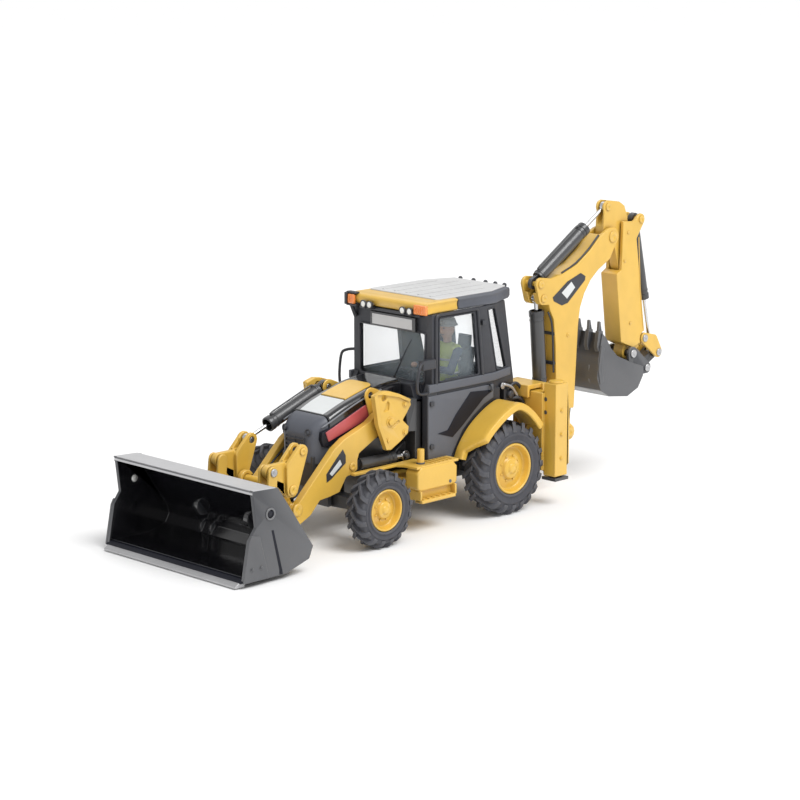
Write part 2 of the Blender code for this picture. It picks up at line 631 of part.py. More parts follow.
def ram_rod(name, x, eye, base, length, radius=ROD_R, eye_half=0.7, pin=PIN_R):
    """Rod hinged at eye, reaching into the barrel hinged at base."""
    way = (Vector(base) - Vector(eye)).normalized()
    point = Vector((x, *eye))
    direction = Vector((0, way.x, way.y))
    profile = [(1.0, 0), (1.0, radius), (length, radius), (length, 0)]
    blocks = [plate(rounded((eye, 1.3)), x - eye_half, x + eye_half), lathe(profile, point, direction, 12)]
    cuts = [pin_hole(eye, x - 3, x + 3, pin)]
    build_object(name, "steel", blocks, cuts, pivot=(x, *eye))


def loader_cylinders():
    for side in (1, -1):
        name = "left" if side > 0 else "right"
        x = LOADER_X * side
        ram_barrel("lift_barrel_" + name, x, LIFT_BARREL_PIN, LIFT_ROD_PIN, 14.6, 1.3, 0.95, 0.45, start=3.0)
        ram_rod("lift_rod_" + name, x, LIFT_ROD_PIN, LIFT_BARREL_PIN, 13.4, 0.7)
    x = -LOADER_X
    ram_barrel("tilt_barrel", x, TILT_BASE, CRANK_ROD_PIN, 19.6, 1.7, 1.45, 0.6)
    ram_rod("tilt_rod", x, CRANK_ROD_PIN, TILT_BASE, 17.8, 0.5, 0.6)
    pins = (("tilt_base_pin", TILT_BASE, -6.95, -12.3), ("tilt_rod_pin", CRANK_ROD_PIN, -6.95, -10.9))
    for label, point, inner, outer in pins:
        blocks = [cross_pin(point, inner, outer)]
        blocks.append(cross_pin(point, outer + 0.2, outer - 0.25, 1.15))
        build_object(label, "steel", blocks, pivot=(x, *point))


# ---------------------------------------------------------------- backhoe
def side_shift():
    height_low, height_high = 8.6, 28.2
    blocks = [
        box(-19.2, 19.2, 56.0, 57.7, height_low, height_high),
        box(-19.2, 19.2, 57.4, 59.4, height_low, 11.4),
        box(-19.2, 19.2, 57.4, 59.4, 23.6, height_high),
    ]
    cuts = [box(-14.0, 14.0, 50, 60, 13.4, 21.8)]
    for side in (1, -1):
        post = box(*sorted(((POST_X - 2.0) * side, (POST_X + 2.0) * side)), 56.8, 61.3, 7.4, 30.7)
        flange = box(*sorted(((POST_X - 1.0) * side, (POST_X + 1.9) * side)), 61.0, 62.1, 10.0, 24.4)
        cuts.append(box(*sorted(((POST_X - 1.3) * side, (POST_X + 1.3) * side)), 57.7, 60.4, 5, 29.8))
        blocks += [post, flange]
    build_object("side_shift_frame", "yellow", blocks, cuts)
    for side in (1, -1):
        leg = box(*sorted(((POST_X - 1.0) * side, (POST_X + 1.0) * side)), 58.0, 60.1, 7.0, 28.6)
        foot = box(*sorted(((POST_X - 2.3) * side, (POST_X + 2.3) * side)), 56.6, 61.5, 6.3, 7.1)
        name = "stabiliser_leg_" + ("left" if side > 0 else "right")
        build_object(name, "black", [leg, foot], pivot=(POST_X * side, 59.05, 7.1))


def carriage_and_kingpost():
    x = HOE_X
    blocks = [
        box(x - 5.0, x + 5.0, 59.7, 61.4, 8.9, 29.7),
        box(x - 4.4, x + 4.4, 55.7, 61.4, 28.5, 29.7),
        box(x - 4.4, x + 4.4, 54.9, 55.7, 26.6, 29.7),
    ]
    cuts = []
    for low in (9.0, 19.6):
        lug = [(x - 1.5, 61.0), (x + 1.5, 61.0)] + arc((x, SWING_Y), 1.5, 0, 180, 8)
        blocks.append(slab(lug, low, low + 1.8))
        cuts.append(rod((x, SWING_Y, low - 1), (x, SWING_Y, low + 3), 0.89))
    build_object("carriage", "yellow", blocks, cuts, pivot=(x, 58.0, 18.0))
    column = [(x - 2.9, 68.5), (x + 2.9, 68.5), (x + 2.9, 69.8), (x - 2.9, 69.8)]
    hub = [(x + 2.0, 69.0), (x - 2.0, 69.0)] + arc((x, SWING_Y), 2.0, 180, 360, 10)
    cap = [
        (x + 2.9, 69.8), (x - 2.9, 69.8), (x - 2.9, 64.0), (x - 2.0, 62.6), (x + 2.0, 62.6), (x + 2.9, 64.0),
    ]
    cheek = rounded((BOOM_PIVOT, 2.1), ((69.8, 13.8), 0.9), ((69.8, 18.2), 0.9))
    ear = rounded((BOOM_BARREL_PIN, 1.7), ((64.4, 23.7), 1.6), ((66.4, 23.4), 1.2))
    blocks = [
        slab(column, 11.2, 24.0), slab(hub, 11.2, 19.2), slab(cap, 21.8, 24.0),
        rod((x, SWING_Y, 8.6), (x, SWING_Y, 22.4), 0.8),
    ]
    for side in (1, -1):
        blocks.append(plate(cheek, *sorted((x + 1.75 * side, x + 2.9 * side))))
        blocks.append(plate(ear, *sorted((x + 1.1 * side, x + 2.3 * side))))
    blocks.append(cross_pin(BOOM_PIVOT, x - 2.5, x + 2.5, 0.9))
    blocks.append(cross_pin(BOOM_BARREL_PIN, x - 2.0, x + 2.0, 0.6))
    build_object("kingpost", "yellow", blocks, pivot=(x, SWING_Y, 18.0))


def boom():
    x = HOE_X
    side_view = [
        (70.3, 21.0), (70.1, 24.6), (67.2, 29.4), (67.0, 38.0), (66.2, 44.5), (64.6, 47.4),
        (62.9, 52.5), (64.2, 54.9), (69.0, 55.6), (74.5, 57.4), (79.4, 60.4), (83.4, 63.8), (86.6, 65.3),
    ]
    side_view += arc(STICK_PIVOT, 2.4, 100, -60, 7)
    side_view += [
        (87.4, 57.6), (82.8, 55.2), (80.0, 53.0), (77.6, 49.8), (76.1, 46.4), (75.4, 42.0), (75.1, 36.5),
        (74.2, 21.0),
    ]
    foot = rounded((BOOM_PIVOT, 2.0), ((72.3, 22.6), 2.0))
    knuckle = rounded((BOOM_ROD_PIN, 1.7), (STICK_BARREL_PIN, 1.7), ((66.4, 50.6), 2.2), ((66.4, 53.0), 1.8))
    blocks = [plate(side_view, x - 2.7, x + 2.7), plate(foot, x - 1.45, x + 1.45)]
    for side in (1, -1):
        blocks.append(plate(knuckle, *sorted((x + 0.9 * side, x + 2.7 * side))))
    pins = [cross_pin(STICK_PIVOT, x - 2.4, x + 2.4, 0.9)]
    for point in (BOOM_ROD_PIN, STICK_BARREL_PIN):
        pins.append(cross_pin(point, x - 2.4, x + 2.4, 0.6))
    mouth = [
        (84.6, 68.6), (83.8, 61.0), (84.6, 56.4), (90.0, 52.5), (96.0, 56.0), (96.0, 68.6),
    ]
    cuts = [plate(mouth, x - 1.65, x + 1.65), pin_hole(BOOM_PIVOT, x - 4, x + 4, 0.9)]
    barrel_room = rounded((STICK_BARREL_PIN, 2.3), (along(STICK_BARREL_PIN, STICK_ROD_PIN, 12), 2.6))
    cuts.append(plate(barrel_room, x - 1.9, x + 1.9))
    cuts.append(plate(rounded((BOOM_ROD_PIN, 2.1), ((59.0, 44.0), 4.0)), x - 0.9, x + 0.9))
    build_object("boom", "yellow", [machined(blocks, cuts)] + pins, pivot=(x, *BOOM_PIVOT))


def stick():
    x = HOE_X
    head = [
        (90.4, 60.2), (86.6, 61.0), (85.9, 63.4), (86.3, 69.6),
    ]
    head += arc(STICK_ROD_PIN, 1.7, 190, 70, 5)
    head += [(92.2, 71.6), (94.2, 70.4), (95.4, 67.4), (98.9, 41.0), (96.6, 41.0), (92.4, 54.0)]
    slit = rounded((STICK_ROD_PIN, 1.9), ((82.0, 66.0), 3.2))
    cuts = [pin_hole(STICK_PIVOT, x - 4, x + 4, 0.9), plate(slit, x - 0.75, x + 0.75)]
    body = machined([plate(head, x - 1.4, x + 1.4)], cuts)
    pin = cross_pin(STICK_ROD_PIN, x - 1.2, x + 1.2, 0.6)
    build_object("main_stick", "yellow", [body, pin], pivot=(x, *STICK_PIVOT))
    channel = [
        (92.3, 66.6), (97.0, 66.2), (99.6, 49.0), (101.6, 36.6), (100.8, 34.6), (97.0, 33.4), (92.2, 35.4),
        (90.0, 53.2), (91.9, 54.2),
    ]
    inside = [
        (91.0, 68.0), (96.4, 68.0), (99.5, 46.0), (99.9, 40.4), (95.4, 40.4), (91.8, 54.2),
    ]
    rear_open = [(96.0, 68.0), (103.0, 68.0), (103.0, 44.0), (98.8, 44.0)]
    nose = rounded((SCOOP_PIVOT, 1.8), ((97.6, 36.0), 2.2), (LEVER_PIVOT, 1.2))
    bracket = rounded((SCOOP_BARREL_PIN, 1.5), ((96.2, 64.6), 1.0), ((96.4, 61.6), 1.0))
    blocks = [plate(channel, x - 2.7, x + 2.7), plate(nose, x - 1.6, x + 1.6)]
    for side in (1, -1):
        blocks.append(plate(bracket, *sorted((x + 1.75 * side, x + 2.7 * side))))
    cuts = [plate(inside, x - 1.7, x + 1.7), plate(rear_open, x - 1.7, x + 1.7)]
    for side in (1, -1):
        lever_room = rounded((LEVER_PIVOT, 2.0), ((106.0, 34.0), 3.4))
        cuts.append(plate(lever_room, *sorted((x + 1.55 * side, x + 4 * side))))
    cuts.append(pin_hole(SCOOP_PIVOT, x - 4, x + 4, 0.8))
    cuts.append(pin_hole(LEVER_PIVOT, x - 4, x + 4))
    pin = cross_pin(SCOOP_BARREL_PIN, x - 2.4, x + 2.4, 0.6)
    build_object("extending_stick", "yellow", [machined(blocks, cuts), pin], pivot=(x, *SCOOP_PIVOT))


def scoop_linkage():
    x = HOE_X
    lever = rounded((LEVER_PIVOT, 1.45), ((105.6, 34.6), 1.2), (LEVER_PIN, 1.45))
    blocks = [plate(lever, x + low, x + low + 0.9) for low in (-2.75, 1.85)]
    blocks += [cross_pin(LEVER_PIVOT, x - 2.4, x + 2.4), cross_pin(LEVER_PIN, x - 2.4, x + 2.4)]
    build_object("bucket_lever", "yellow", blocks, pivot=(x, *LEVER_PIVOT))
    link = rounded((LEVER_PIN, 1.3), (SCOOP_LINK_PIN, 1.1))
    room = rounded((LEVER_PIN, 1.9), (along(LEVER_PIN, SCOOP_BARREL_PIN, 3.5), 1.9))
    blocks = [plate(link, x - 1.55, x + 1.55)]
    cuts = [plate(room, x - 0.9, x + 0.9), pin_hole(LEVER_PIN, x - 3, x + 3)]
    cuts.append(pin_hole(SCOOP_LINK_PIN, x - 3, x + 3, 0.6))
    build_object("bucket_link", "black", blocks, cuts, pivot=(x, *LEVER_PIN))


def hoe_bucket():
    x = HOE_X
    outer = [
        (81.0, 39.6), (79.6, 33.4), (79.2, 28.2), (80.6, 24.9), (84.0, 22.9), (91.2, 21.9), (95.4, 23.6),
        (97.4, 26.6), (97.2, 28.6),
    ]
    inner = [
        (96.3, 28.5), (96.4, 26.9), (94.8, 24.5), (91.2, 22.9), (84.3, 23.9), (81.4, 25.6), (80.2, 28.4),
        (80.6, 33.3), (81.8, 38.2),
    ]
    cheek = outer[:-1] + [(97.2, 29.0), (92.6, 30.6), (87.0, 33.0), (84.4, 35.4), (82.4, 38.4)]
    blocks = [plate(outer + inner, x - 6.0, x + 6.0)]
    ear = rounded((SCOOP_PIVOT, 1.8), (SCOOP_LINK_PIN, 1.5), ((95.6, 27.4), 1.2), steps=14)
    for side in (1, -1):
        blocks.append(plate(cheek, *sorted((x + 5.2 * side, x + 6.0 * side))))
        blocks.append(plate(ear, *sorted((x + 3.0 * side, x + 3.8 * side))))
    blocks.append(cross_pin(SCOOP_PIVOT, x - 3.5, x + 3.5, 0.8))
    blocks.append(cross_pin(SCOOP_LINK_PIN, x - 3.5, x + 3.5, 0.6))
    tooth = [(81.9, 37.4), (80.9, 42.6), (80.3, 42.6), (79.9, 37.4)]
    for place in (-5.3, -1.95, 1.4, 4.75):
        blocks.append(plate(tooth, x + place - 0.1, x + place + 0.65))
    build_object("hoe_bucket", "grey", blocks, pivot=(x, *SCOOP_PIVOT))


def hoe_cylinders():
    x = HOE_X
    ram_barrel("boom_barrel", x, BOOM_BARREL_PIN, BOOM_ROD_PIN, 20.6, 1.8, 1.5, 0.75, 0.6)
    ram_rod("boom_rod", x, BOOM_ROD_PIN, BOOM_BARREL_PIN, 19.4, 0.6, 0.5, 0.6)
    ram_barrel("stick_barrel", x, STICK_BARREL_PIN, STICK_ROD_PIN, 22.6, 1.65, 1.35, 0.5, 0.6)
    ram_rod("stick_rod", x, STICK_ROD_PIN, STICK_BARREL_PIN, 23.2, 0.5, 0.45, 0.6)
    ram_barrel("scoop_barrel", x, SCOOP_BARREL_PIN, LEVER_PIN, 22.0, 1.3, 1.0, 0.75, 0.6)
    ram_rod("scoop_rod", x, LEVER_PIN, SCOOP_BARREL_PIN, 27.0, 0.45, 0.6)


# ---------------------------------------------------------------- build
clear_scene()
MACHINE = bpy.data.objects.new("machine", None)
bpy.context.collection.objects.link(MACHINE)
MACHINE.location = (0, -MIDDLE_Y * MM, 0)

for hand in (1, -1):
    wheel(hand, "front_", FRONT_WHEEL_X, 0.0, FRONT_TYRE_R, 6.0, 4.95)
    wheel(hand, "rear_", REAR_WHEEL_X, WHEELBASE, REAR_TYRE_R, 8.0, 6.25)
front_axle()
chassis()
hood()
cab()
roof()
interior()
towers()
steps_and_fenders()
loader_arms()
bell_cranks()
tilt_links()
loader_bucket()
loader_cylinders()
side_shift()
carriage_and_kingpost()
boom()
stick()
scoop_linkage()
hoe_bucket()
hoe_cylinders()
bpy.context.view_layer.update()
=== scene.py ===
import json
import math

import bmesh
import bpy
from mathutils import Matrix, Vector


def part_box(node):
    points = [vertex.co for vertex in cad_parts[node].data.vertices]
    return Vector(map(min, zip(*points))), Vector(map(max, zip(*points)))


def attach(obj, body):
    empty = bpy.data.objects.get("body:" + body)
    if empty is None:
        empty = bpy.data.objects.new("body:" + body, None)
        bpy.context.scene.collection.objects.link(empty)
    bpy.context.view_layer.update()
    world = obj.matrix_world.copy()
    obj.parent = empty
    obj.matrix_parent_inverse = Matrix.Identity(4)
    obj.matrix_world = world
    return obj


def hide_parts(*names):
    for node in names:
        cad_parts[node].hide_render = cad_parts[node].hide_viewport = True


# Looks of a small die-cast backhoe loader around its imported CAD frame.
# Shapes are laid out in millimetres from the front axle: X to the machine's left,
# Y backwards and Z up from the ground. TO_ROW takes them to the CAD's metres.

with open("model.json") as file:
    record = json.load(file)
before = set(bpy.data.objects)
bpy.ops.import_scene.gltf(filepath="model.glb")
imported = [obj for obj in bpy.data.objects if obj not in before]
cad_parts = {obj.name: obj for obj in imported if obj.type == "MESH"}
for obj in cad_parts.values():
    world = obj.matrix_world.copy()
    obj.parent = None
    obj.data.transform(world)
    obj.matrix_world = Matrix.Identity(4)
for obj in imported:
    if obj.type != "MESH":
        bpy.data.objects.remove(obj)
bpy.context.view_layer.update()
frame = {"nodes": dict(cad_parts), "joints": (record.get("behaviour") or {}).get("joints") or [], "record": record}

MM = 0.001
SIDES = (1, -1)
HANDS = (("left", 1), ("right", -1))
JOINTS = {joint["name"]: joint for joint in frame["joints"]}
FRONT_AXLE_Y = JOINTS["axle_tilt"]["pos_m"][1]
TO_ROW = Matrix.Translation((0, FRONT_AXLE_Y, 0)) @ Matrix.Scale(MM, 4)
TO_AXLE = TO_ROW.inverted()


def pivot(joint):
    """A joint's place in the plane (Y, Z), in millimetres from the front axle."""
    point = TO_AXLE @ Vector(JOINTS[joint]["pos_m"])
    return (point.y, point.z)


def extent(node):
    """Lowest and highest corner of a CAD node, in millimetres from the front axle."""
    low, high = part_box(node)
    return TO_AXLE @ low, TO_AXLE @ high


# ---- places taken from the frame
ARM_PIVOT = pivot("lift")
BUCKET_PIVOT = pivot("bucket_tilt")
CRANK_PIVOT = pivot("crank_pivot")
CRANK_LINK_PIN = pivot("tilt_link_left_pivot")
CRANK_ROD_PIN = pivot("tilt_rod_pivot")
TILT_BASE = pivot("tilt_barrel_pivot")
LIFT_ROD_PIN = pivot("lift_rod_left_pivot")
LIFT_BARREL_PIN = pivot("lift_barrel_left_pivot")
BOOM_PIVOT = pivot("boom_pivot")
BOOM_BARREL_PIN = pivot("boom_barrel_pivot")
BOOM_ROD_PIN = pivot("boom_rod_pivot")
STICK_PIVOT = pivot("stick_pivot")
STICK_BARREL_PIN = pivot("stick_barrel_pivot")
STICK_ROD_PIN = pivot("stick_rod_pivot")
SCOOP_PIVOT = pivot("scoop_pivot")
LEVER_PIVOT = pivot("lever_pivot")
LEVER_PIN = pivot("link_pivot")
SCOOP_BARREL_PIN = pivot("scoop_barrel_pivot")
SWING_Y = pivot("swing")[0]
HOE_X = JOINTS["swing"]["pos_m"][0] / MM
LOADER_X = JOINTS["lift_rod_left_pivot"]["pos_m"][0] / MM
REAR_AXLE = pivot("spin_rear_left")
BUCKET_LINK_PIN = (-26.0, 10.45)
SCOOP_LINK_PIN = (101.5, 27.7)
CHEEK_HOLE = (-38.2, 15.6)


# ---- node materials
def node(tree, kind, **inputs):
    made = tree.nodes.new(kind)
    for name, value in inputs.items():
        made.inputs[name.replace("_", " ")].default_value = value
    return made


def noise_node(tree, source, scale, detail=3.0):
    made = node(tree, "ShaderNodeTexNoise", Scale=scale, Detail=detail, Roughness=0.55)
    tree.links.new(source, made.inputs["Vector"])
    return made.outputs["Fac"]


def ramp(tree, source, low, high, low_value, high_value):
    made = node(
        tree, "ShaderNodeMapRange", From_Min=low, From_Max=high, To_Min=low_value, To_Max=high_value,
    )
    tree.links.new(source, made.inputs["Value"])
    return made.outputs["Result"]


def mixed(tree, factor, first, second):
    """Colour mix; first and second are sockets or plain colours."""
    made = tree.nodes.new("ShaderNodeMix")
    made.data_type = "RGBA"
    for index, value in ((0, factor), (6, first), (7, second)):
        if isinstance(value, bpy.types.NodeSocket):
            tree.links.new(value, made.inputs[index])
        else:
            made.inputs[index].default_value = value
    return made.outputs[2]


def scaled(colour, factor):
    return tuple(min(1.0, channel * factor) for channel in colour[:3]) + (1.0,)


def surface(name, colour, roughness, metallic=0.0, patch=0.06, grain=0.05, grain_size=0.7, bump=0.04,
            wear=0.12, painted_corner_shade=0.45, coat=0.0, alpha=1.0, specular=0.5):
    """A painted or moulded surface: slow colour drift, fine grain, edges lightened as rubbed paint and painted
    highlight, corners darkened as painted shade.

    grain_size and bump, the height of the grain, are in millimetres.
    """
    made = bpy.data.materials.new(name)
    made.use_nodes = True
    tree = made.node_tree
    shader = tree.nodes["Principled BSDF"]
    place = tree.nodes.new("ShaderNodeTexCoord").outputs["Object"]
    slow = noise_node(tree, place, 1.0 / (9.0 * MM), 2.0)
    middle = noise_node(tree, place, 1.0 / (2.2 * MM), 4.0)
    fine = noise_node(tree, place, 1.0 / (grain_size * MM), 3.0)
    drift = ramp(tree, slow, 0.3, 0.7, 0.0, 1.0)
    base = mixed(tree, drift, scaled(colour, 1 - patch), scaled(colour, 1 + patch))
    base = mixed(tree, ramp(tree, middle, 0.45, 0.75, 0.0, patch * 2.0), base, scaled(colour, 0.72))
    # Edges lightened by pointiness: partly rubbed paint, partly a painted highlight that makes edges read.
    if wear:
        edge = tree.nodes.new("ShaderNodeNewGeometry").outputs["Pointiness"]
        rubbed_and_lit_edge = ramp(tree, edge, 0.52, 0.60, 0.0, wear)
        light = tuple(channel * 0.6 + 0.4 for channel in colour[:3]) + (1.0,)
        base = mixed(tree, rubbed_and_lit_edge, base, light)
    # Painted shade: colour darkened towards 0.3 of itself where ambient occlusion finds corners, creases and gaps.
    if painted_corner_shade:
        corner = node(tree, "ShaderNodeAmbientOcclusion", Distance=1.6 * MM)
        corner.samples = 4
        corner_shade_share = ramp(tree, corner.outputs["AO"], 0.25, 0.85, painted_corner_shade, 0.0)
        base = mixed(tree, corner_shade_share, base, scaled(colour, 0.30))
    tree.links.new(base, shader.inputs["Base Color"])
    sheen = ramp(tree, middle, 0.3, 0.7, roughness - grain, roughness + grain)
    tree.links.new(sheen, shader.inputs["Roughness"])
    relief = node(tree, "ShaderNodeBump", Strength=0.6, Distance=bump * MM)
    tree.links.new(fine, relief.inputs["Height"])
    tree.links.new(relief.outputs["Normal"], shader.inputs["Normal"])
    settings = {
        "Metallic": metallic, "Specular IOR Level": specular, "Coat Weight": coat, "Coat Roughness": 0.12,
        "Alpha": alpha,
    }
    for socket, value in settings.items():
        shader.inputs[socket].default_value = value
    return made


YELLOW = surface("yellow_paint", (0.74, 0.455, 0.065), 0.36, coat=0.25, bump=0.03)
CREAM = surface("cream_paint", (0.60, 0.60, 0.60), 0.42, coat=0.15, bump=0.03)
BLACK = surface("black_plastic", (0.020, 0.022, 0.030), 0.42, bump=0.03, wear=0.10)
GREY = surface("grey_plastic", (0.085, 0.092, 0.112), 0.48, bump=0.05)
BLACK_PAINT = surface("black_paint", (0.028, 0.029, 0.032), 0.34, coat=0.3, wear=0.15)
BUCKET = surface(
    "bucket_paint", (0.044, 0.046, 0.053), 0.33, coat=0.25, wear=0.30, bump=0.04,
)
# Gloss black: hood and sign board; on the front bucket's inner faces its darkness is painted shade.
GLOSS_BLACK = surface(
    "gloss_black", (0.008, 0.008, 0.010), 0.12, coat=0.8, wear=0.05, painted_corner_shade=0.2, grain=0.04,
    bump=0.02,
)
RUBBER = surface(
    "tyre_rubber", (0.058, 0.059, 0.070), 0.72, patch=0.16, grain=0.08, grain_size=0.4,
    bump=0.08, wear=0.18,
)
STEEL = surface(
    "bright_steel", (0.66, 0.66, 0.67), 0.24, 1.0, patch=0.05, grain=0.08, bump=0.01,
    wear=0.0,
)
# Light grey for the front bucket's top lip: painted reflection.
LIP_REFLECTION_PAINT = surface("lip_reflection_paint", (0.52, 0.52, 0.53), 0.34, 0.2, patch=0.05, bump=0.02)
# Grey for the lines along the hood shoulders: painted highlight.
SHOULDER_HIGHLIGHT_GREY = surface("shoulder_highlight_grey", (0.16, 0.17, 0.19), 0.42, bump=0.03)
# Deep black: real trim on hood and doors; painted shade in the front bucket's groove, cheek holes and lip.
DEEP_BLACK = surface(
    "deep_black", (0.006, 0.007, 0.014), 0.40, specular=0.22, wear=0.04, painted_corner_shade=0.2,
    grain=0.04, bump=0.02,
)
SILVER = surface("silver_paint", (0.50, 0.50, 0.51), 0.34, 0.6, patch=0.06, bump=0.02)
RED = surface("red_panel", (0.47, 0.065, 0.075), 0.38, coat=0.2, bump=0.02)
WHITE = surface("white_panel", (0.66, 0.68, 0.68), 0.40, patch=0.03, bump=0.02)
ORANGE = surface(
    "orange_lens", (0.92, 0.26, 0.03), 0.18, coat=0.6, painted_corner_shade=0.2, bump=0.06, grain_size=0.5,
)
LAMP = surface(
    "clear_lens", (0.90, 0.90, 0.86), 0.12, coat=0.8, painted_corner_shade=0.25, bump=0.05, grain_size=0.4,
)
VEST = surface(
    "safety_vest", (0.55, 0.68, 0.12), 0.75, patch=0.10, bump=0.10, grain_size=0.35,
)
SKIN = surface("figure_skin", (0.62, 0.36, 0.24), 0.55, patch=0.05, bump=0.02)
TROUSERS = surface(
    "figure_trousers", (0.06, 0.08, 0.14), 0.75, patch=0.12, bump=0.08, grain_size=0.3,
)
GLASS = surface(
    "window_glass", (0.78, 0.90, 0.98), 0.05, patch=0.02, grain=0.03, wear=0.0, painted_corner_shade=0.0,
    bump=0.004, coat=0.3, alpha=0.10,
)


# ---- outlines and blocks
def arc(centre, radius, start, end, steps):
    """Points on an arc, angles in degrees, both ends included."""
    points = []
    for step in range(steps + 1):
        angle = math.radians(start + (end - start) * step / steps)
        points.append((centre[0] + radius * math.cos(angle), centre[1] + radius * math.sin(angle)))
    return points


def smooth_path(points, steps=5):
    """A curve through the points, which may have two or three coordinates."""
    points = [Vector(point) for point in points]
    padded = [points[0] * 2 - points[1]] + points + [points[-1] * 2 - points[-2]]
    made = []
    for before, start, end, after in zip(padded, padded[1:], padded[2:], padded[3:]):
        for step in range(steps):
            t = step / steps
            made.append(
                start + (end - before) * 0.5 * t
                + (before * 2 - start * 5 + end * 4 - after) * 0.5 * t * t
                + (start * 3 - before - end * 3 + after) * 0.5 * t * t * t
            )
    return [tuple(point) for point in made + [points[-1]]]


def soften(bm, width=0.15, segments=2, angle=35):
    """Round every edge that turns by more than the angle."""
    bmesh.ops.recalc_face_normals(bm, faces=bm.faces)
    if width:
        limit = math.radians(angle)
        sharp = [edge for edge in bm.edges if len(edge.link_faces) == 2 and edge.calc_face_angle(0) > limit]
        bmesh.ops.bevel(
            bm, geom=sharp, offset=width, segments=segments, profile=0.7, affect="EDGES", clamp_overlap=True,
        )
    return bm


def skin(rings, closed, soft=0, angle=35):
    """Solid over rings of 3-D points; a ring of one point is a tip.

    A closed one joins its last ring to its first, another one gets flat ends.
    """
    bm = bmesh.new()
    made = [[bm.verts.new(point) for point in ring] for ring in rings]
    pairs = list(zip(made, made[1:]))
    if closed:
        pairs.append((made[-1], made[0]))
    elif len(made[0]) > 1:
        bm.faces.new(list(reversed(made[0])))
        bm.faces.new(made[-1])
    for low, high in pairs:
        count = max(len(low), len(high))
        for i in range(count):
            j = (i + 1) % count
            if len(low) == 1:
                bm.faces.new((low[0], high[j], high[i]))
            elif len(high) == 1:
                bm.faces.new((low[i], low[j], high[0]))
            else:
                bm.faces.new((low[i], low[j], high[j], high[i]))
    return soften(bm, soft, angle=angle)


def loft(loops, soft=0.15):
    return skin(loops, False, soft)


def plate(outline, x0, x1, soft=0.15):
    """Outline in (Y, Z), extruded along X."""
    return loft([[(x0, y, z) for y, z in outline], [(x1, y, z) for y, z in outline]], soft)


def slab(outline, z0, z1, soft=0.15):
    """Outline in (X, Y), extruded along Z."""
    return loft([[(x, y, z0) for x, y in outline], [(x, y, z1) for x, y in outline]], soft)


def curtain(outline, y0, y1, soft=0.15):
    """Outline in (X, Z), extruded along Y."""
    return loft([[(x, y0, z) for x, z in outline], [(x, y1, z) for x, z in outline]], soft)


def box(x0, x1, y0, y1, z0, z1, soft=0.15):
    return slab([(x0, y0), (x1, y0), (x1, y1), (x0, y1)], z0, z1, soft)


def lathe(profile, origin, direction, sides=32, soft=0):
    """Turn a profile of (distance along the axis, radius); radius 0 closes on the axis."""
    turn = Vector((0, 0, 1)).rotation_difference(Vector(direction)).to_matrix().to_4x4()
    place = Matrix.Translation(Vector(origin)) @ turn
    rings = []
    for height, radius in profile:
        angles = [math.tau * (i + 0.5) / sides for i in range(sides if radius else 1)]
        ring = [Vector((radius * math.cos(angle), radius * math.sin(angle), height)) for angle in angles]
        rings.append([place @ point for point in ring])
    return skin(rings, len(rings[0]) > 1, soft, 50)


def span(side, near, far):
    """Low and high X of something between two distances from the middle, on one side."""
    return sorted((near * side, far * side))


def stud(origin, way, low, high, height, sides=24, soft=0):
    """Round stud on a surface; low and high are its radii at its foot and its top."""
    return lathe([(0, 0), (0, low), (height, high), (height, 0)], origin, way, sides, soft)


def rod(start, end, radius, sides=20, soft=0.1):
    """Round bar between two 3-D points."""
    way = Vector(end) - Vector(start)
    return stud(start, way, radius, radius, way.length, sides, soft)


def ball(centre, radii):
    """Egg-shaped blob, used inside a fused figure."""
    bm = bmesh.new()
    bmesh.ops.create_uvsphere(bm, u_segments=20, v_segments=12, radius=1)
    shape = Matrix.LocRotScale(Vector(centre), None, Vector(radii))
    bmesh.ops.transform(bm, matrix=shape, verts=bm.verts)
    return bm


def tube(points, radius, closed=False, sides=10):
    """Round tube along a path of 3-D points."""
    path = [Vector(point) for point in points]
    count = len(path)
    side_way = None
    rings = []
    for i, point in enumerate(path):
        before = path[i - 1] if i or closed else point
        after = path[(i + 1) % count] if i < count - 1 or closed else point
        way = (after - before).normalized()
        if side_way is None:
            side_way = way.orthogonal().normalized()
        side_way = (side_way - way * side_way.dot(way)).normalized()
        other = way.cross(side_way)
        turns = [math.tau * k / sides for k in range(sides)]
        ways = [side_way * math.cos(turn) + other * math.sin(turn) for turn in turns]
        rings.append([point + out * radius for out in ways])
    return skin(rings, closed)


def rounded_corners(points, radius, closed=True, steps=4):
    """A path of 3-D points with its corners cut by small curves."""
    path = [Vector(point) for point in points]
    count = len(path)
    made = []
    for i, corner in enumerate(path):
        if not closed and i in (0, count - 1):
            made.append(corner)
            continue
        before, after = path[i - 1], path[(i + 1) % count]
        start = corner + (before - corner).normalized() * radius
        end = corner + (after - corner).normalized() * radius
        for step in range(steps + 1):
            t = step / steps
            made.append(start * (1 - t) ** 2 + corner * 2 * t * (1 - t) + end * t * t)
    return made


def hose(points, radius, steps=6, sides=10):
    """Round tube on a smooth curve through the points."""
    return tube(smooth_path(points, steps), radius, sides=sides)


def wire(corners, turn, radius, closed=True, sides=10):
    """Round tube along straight runs with rounded corners."""
    return tube(rounded_corners(corners, turn, closed), radius, closed, sides)


# ---- pieces
def normals_by_area(item):
    modifier = item.modifiers.new("normals", "WEIGHTED_NORMAL")
    modifier.keep_sharp = True
    modifier.weight = 60


def body_of(node_name):
    for body, names in frame["record"]["behaviour"]["bodies"].items():
        if node_name in names:
            return body
    raise ValueError(node_name)


def joined(blocks):
    """All blocks in one bmesh, scaled into the CAD's frame."""
    whole = bmesh.new()
    for block in blocks:
        part = bpy.data.meshes.new("block")
        block.to_mesh(part)
        block.free()
        whole.from_mesh(part)
        bpy.data.meshes.remove(part)
    bmesh.ops.transform(whole, matrix=TO_ROW, verts=whole.verts)
    return whole


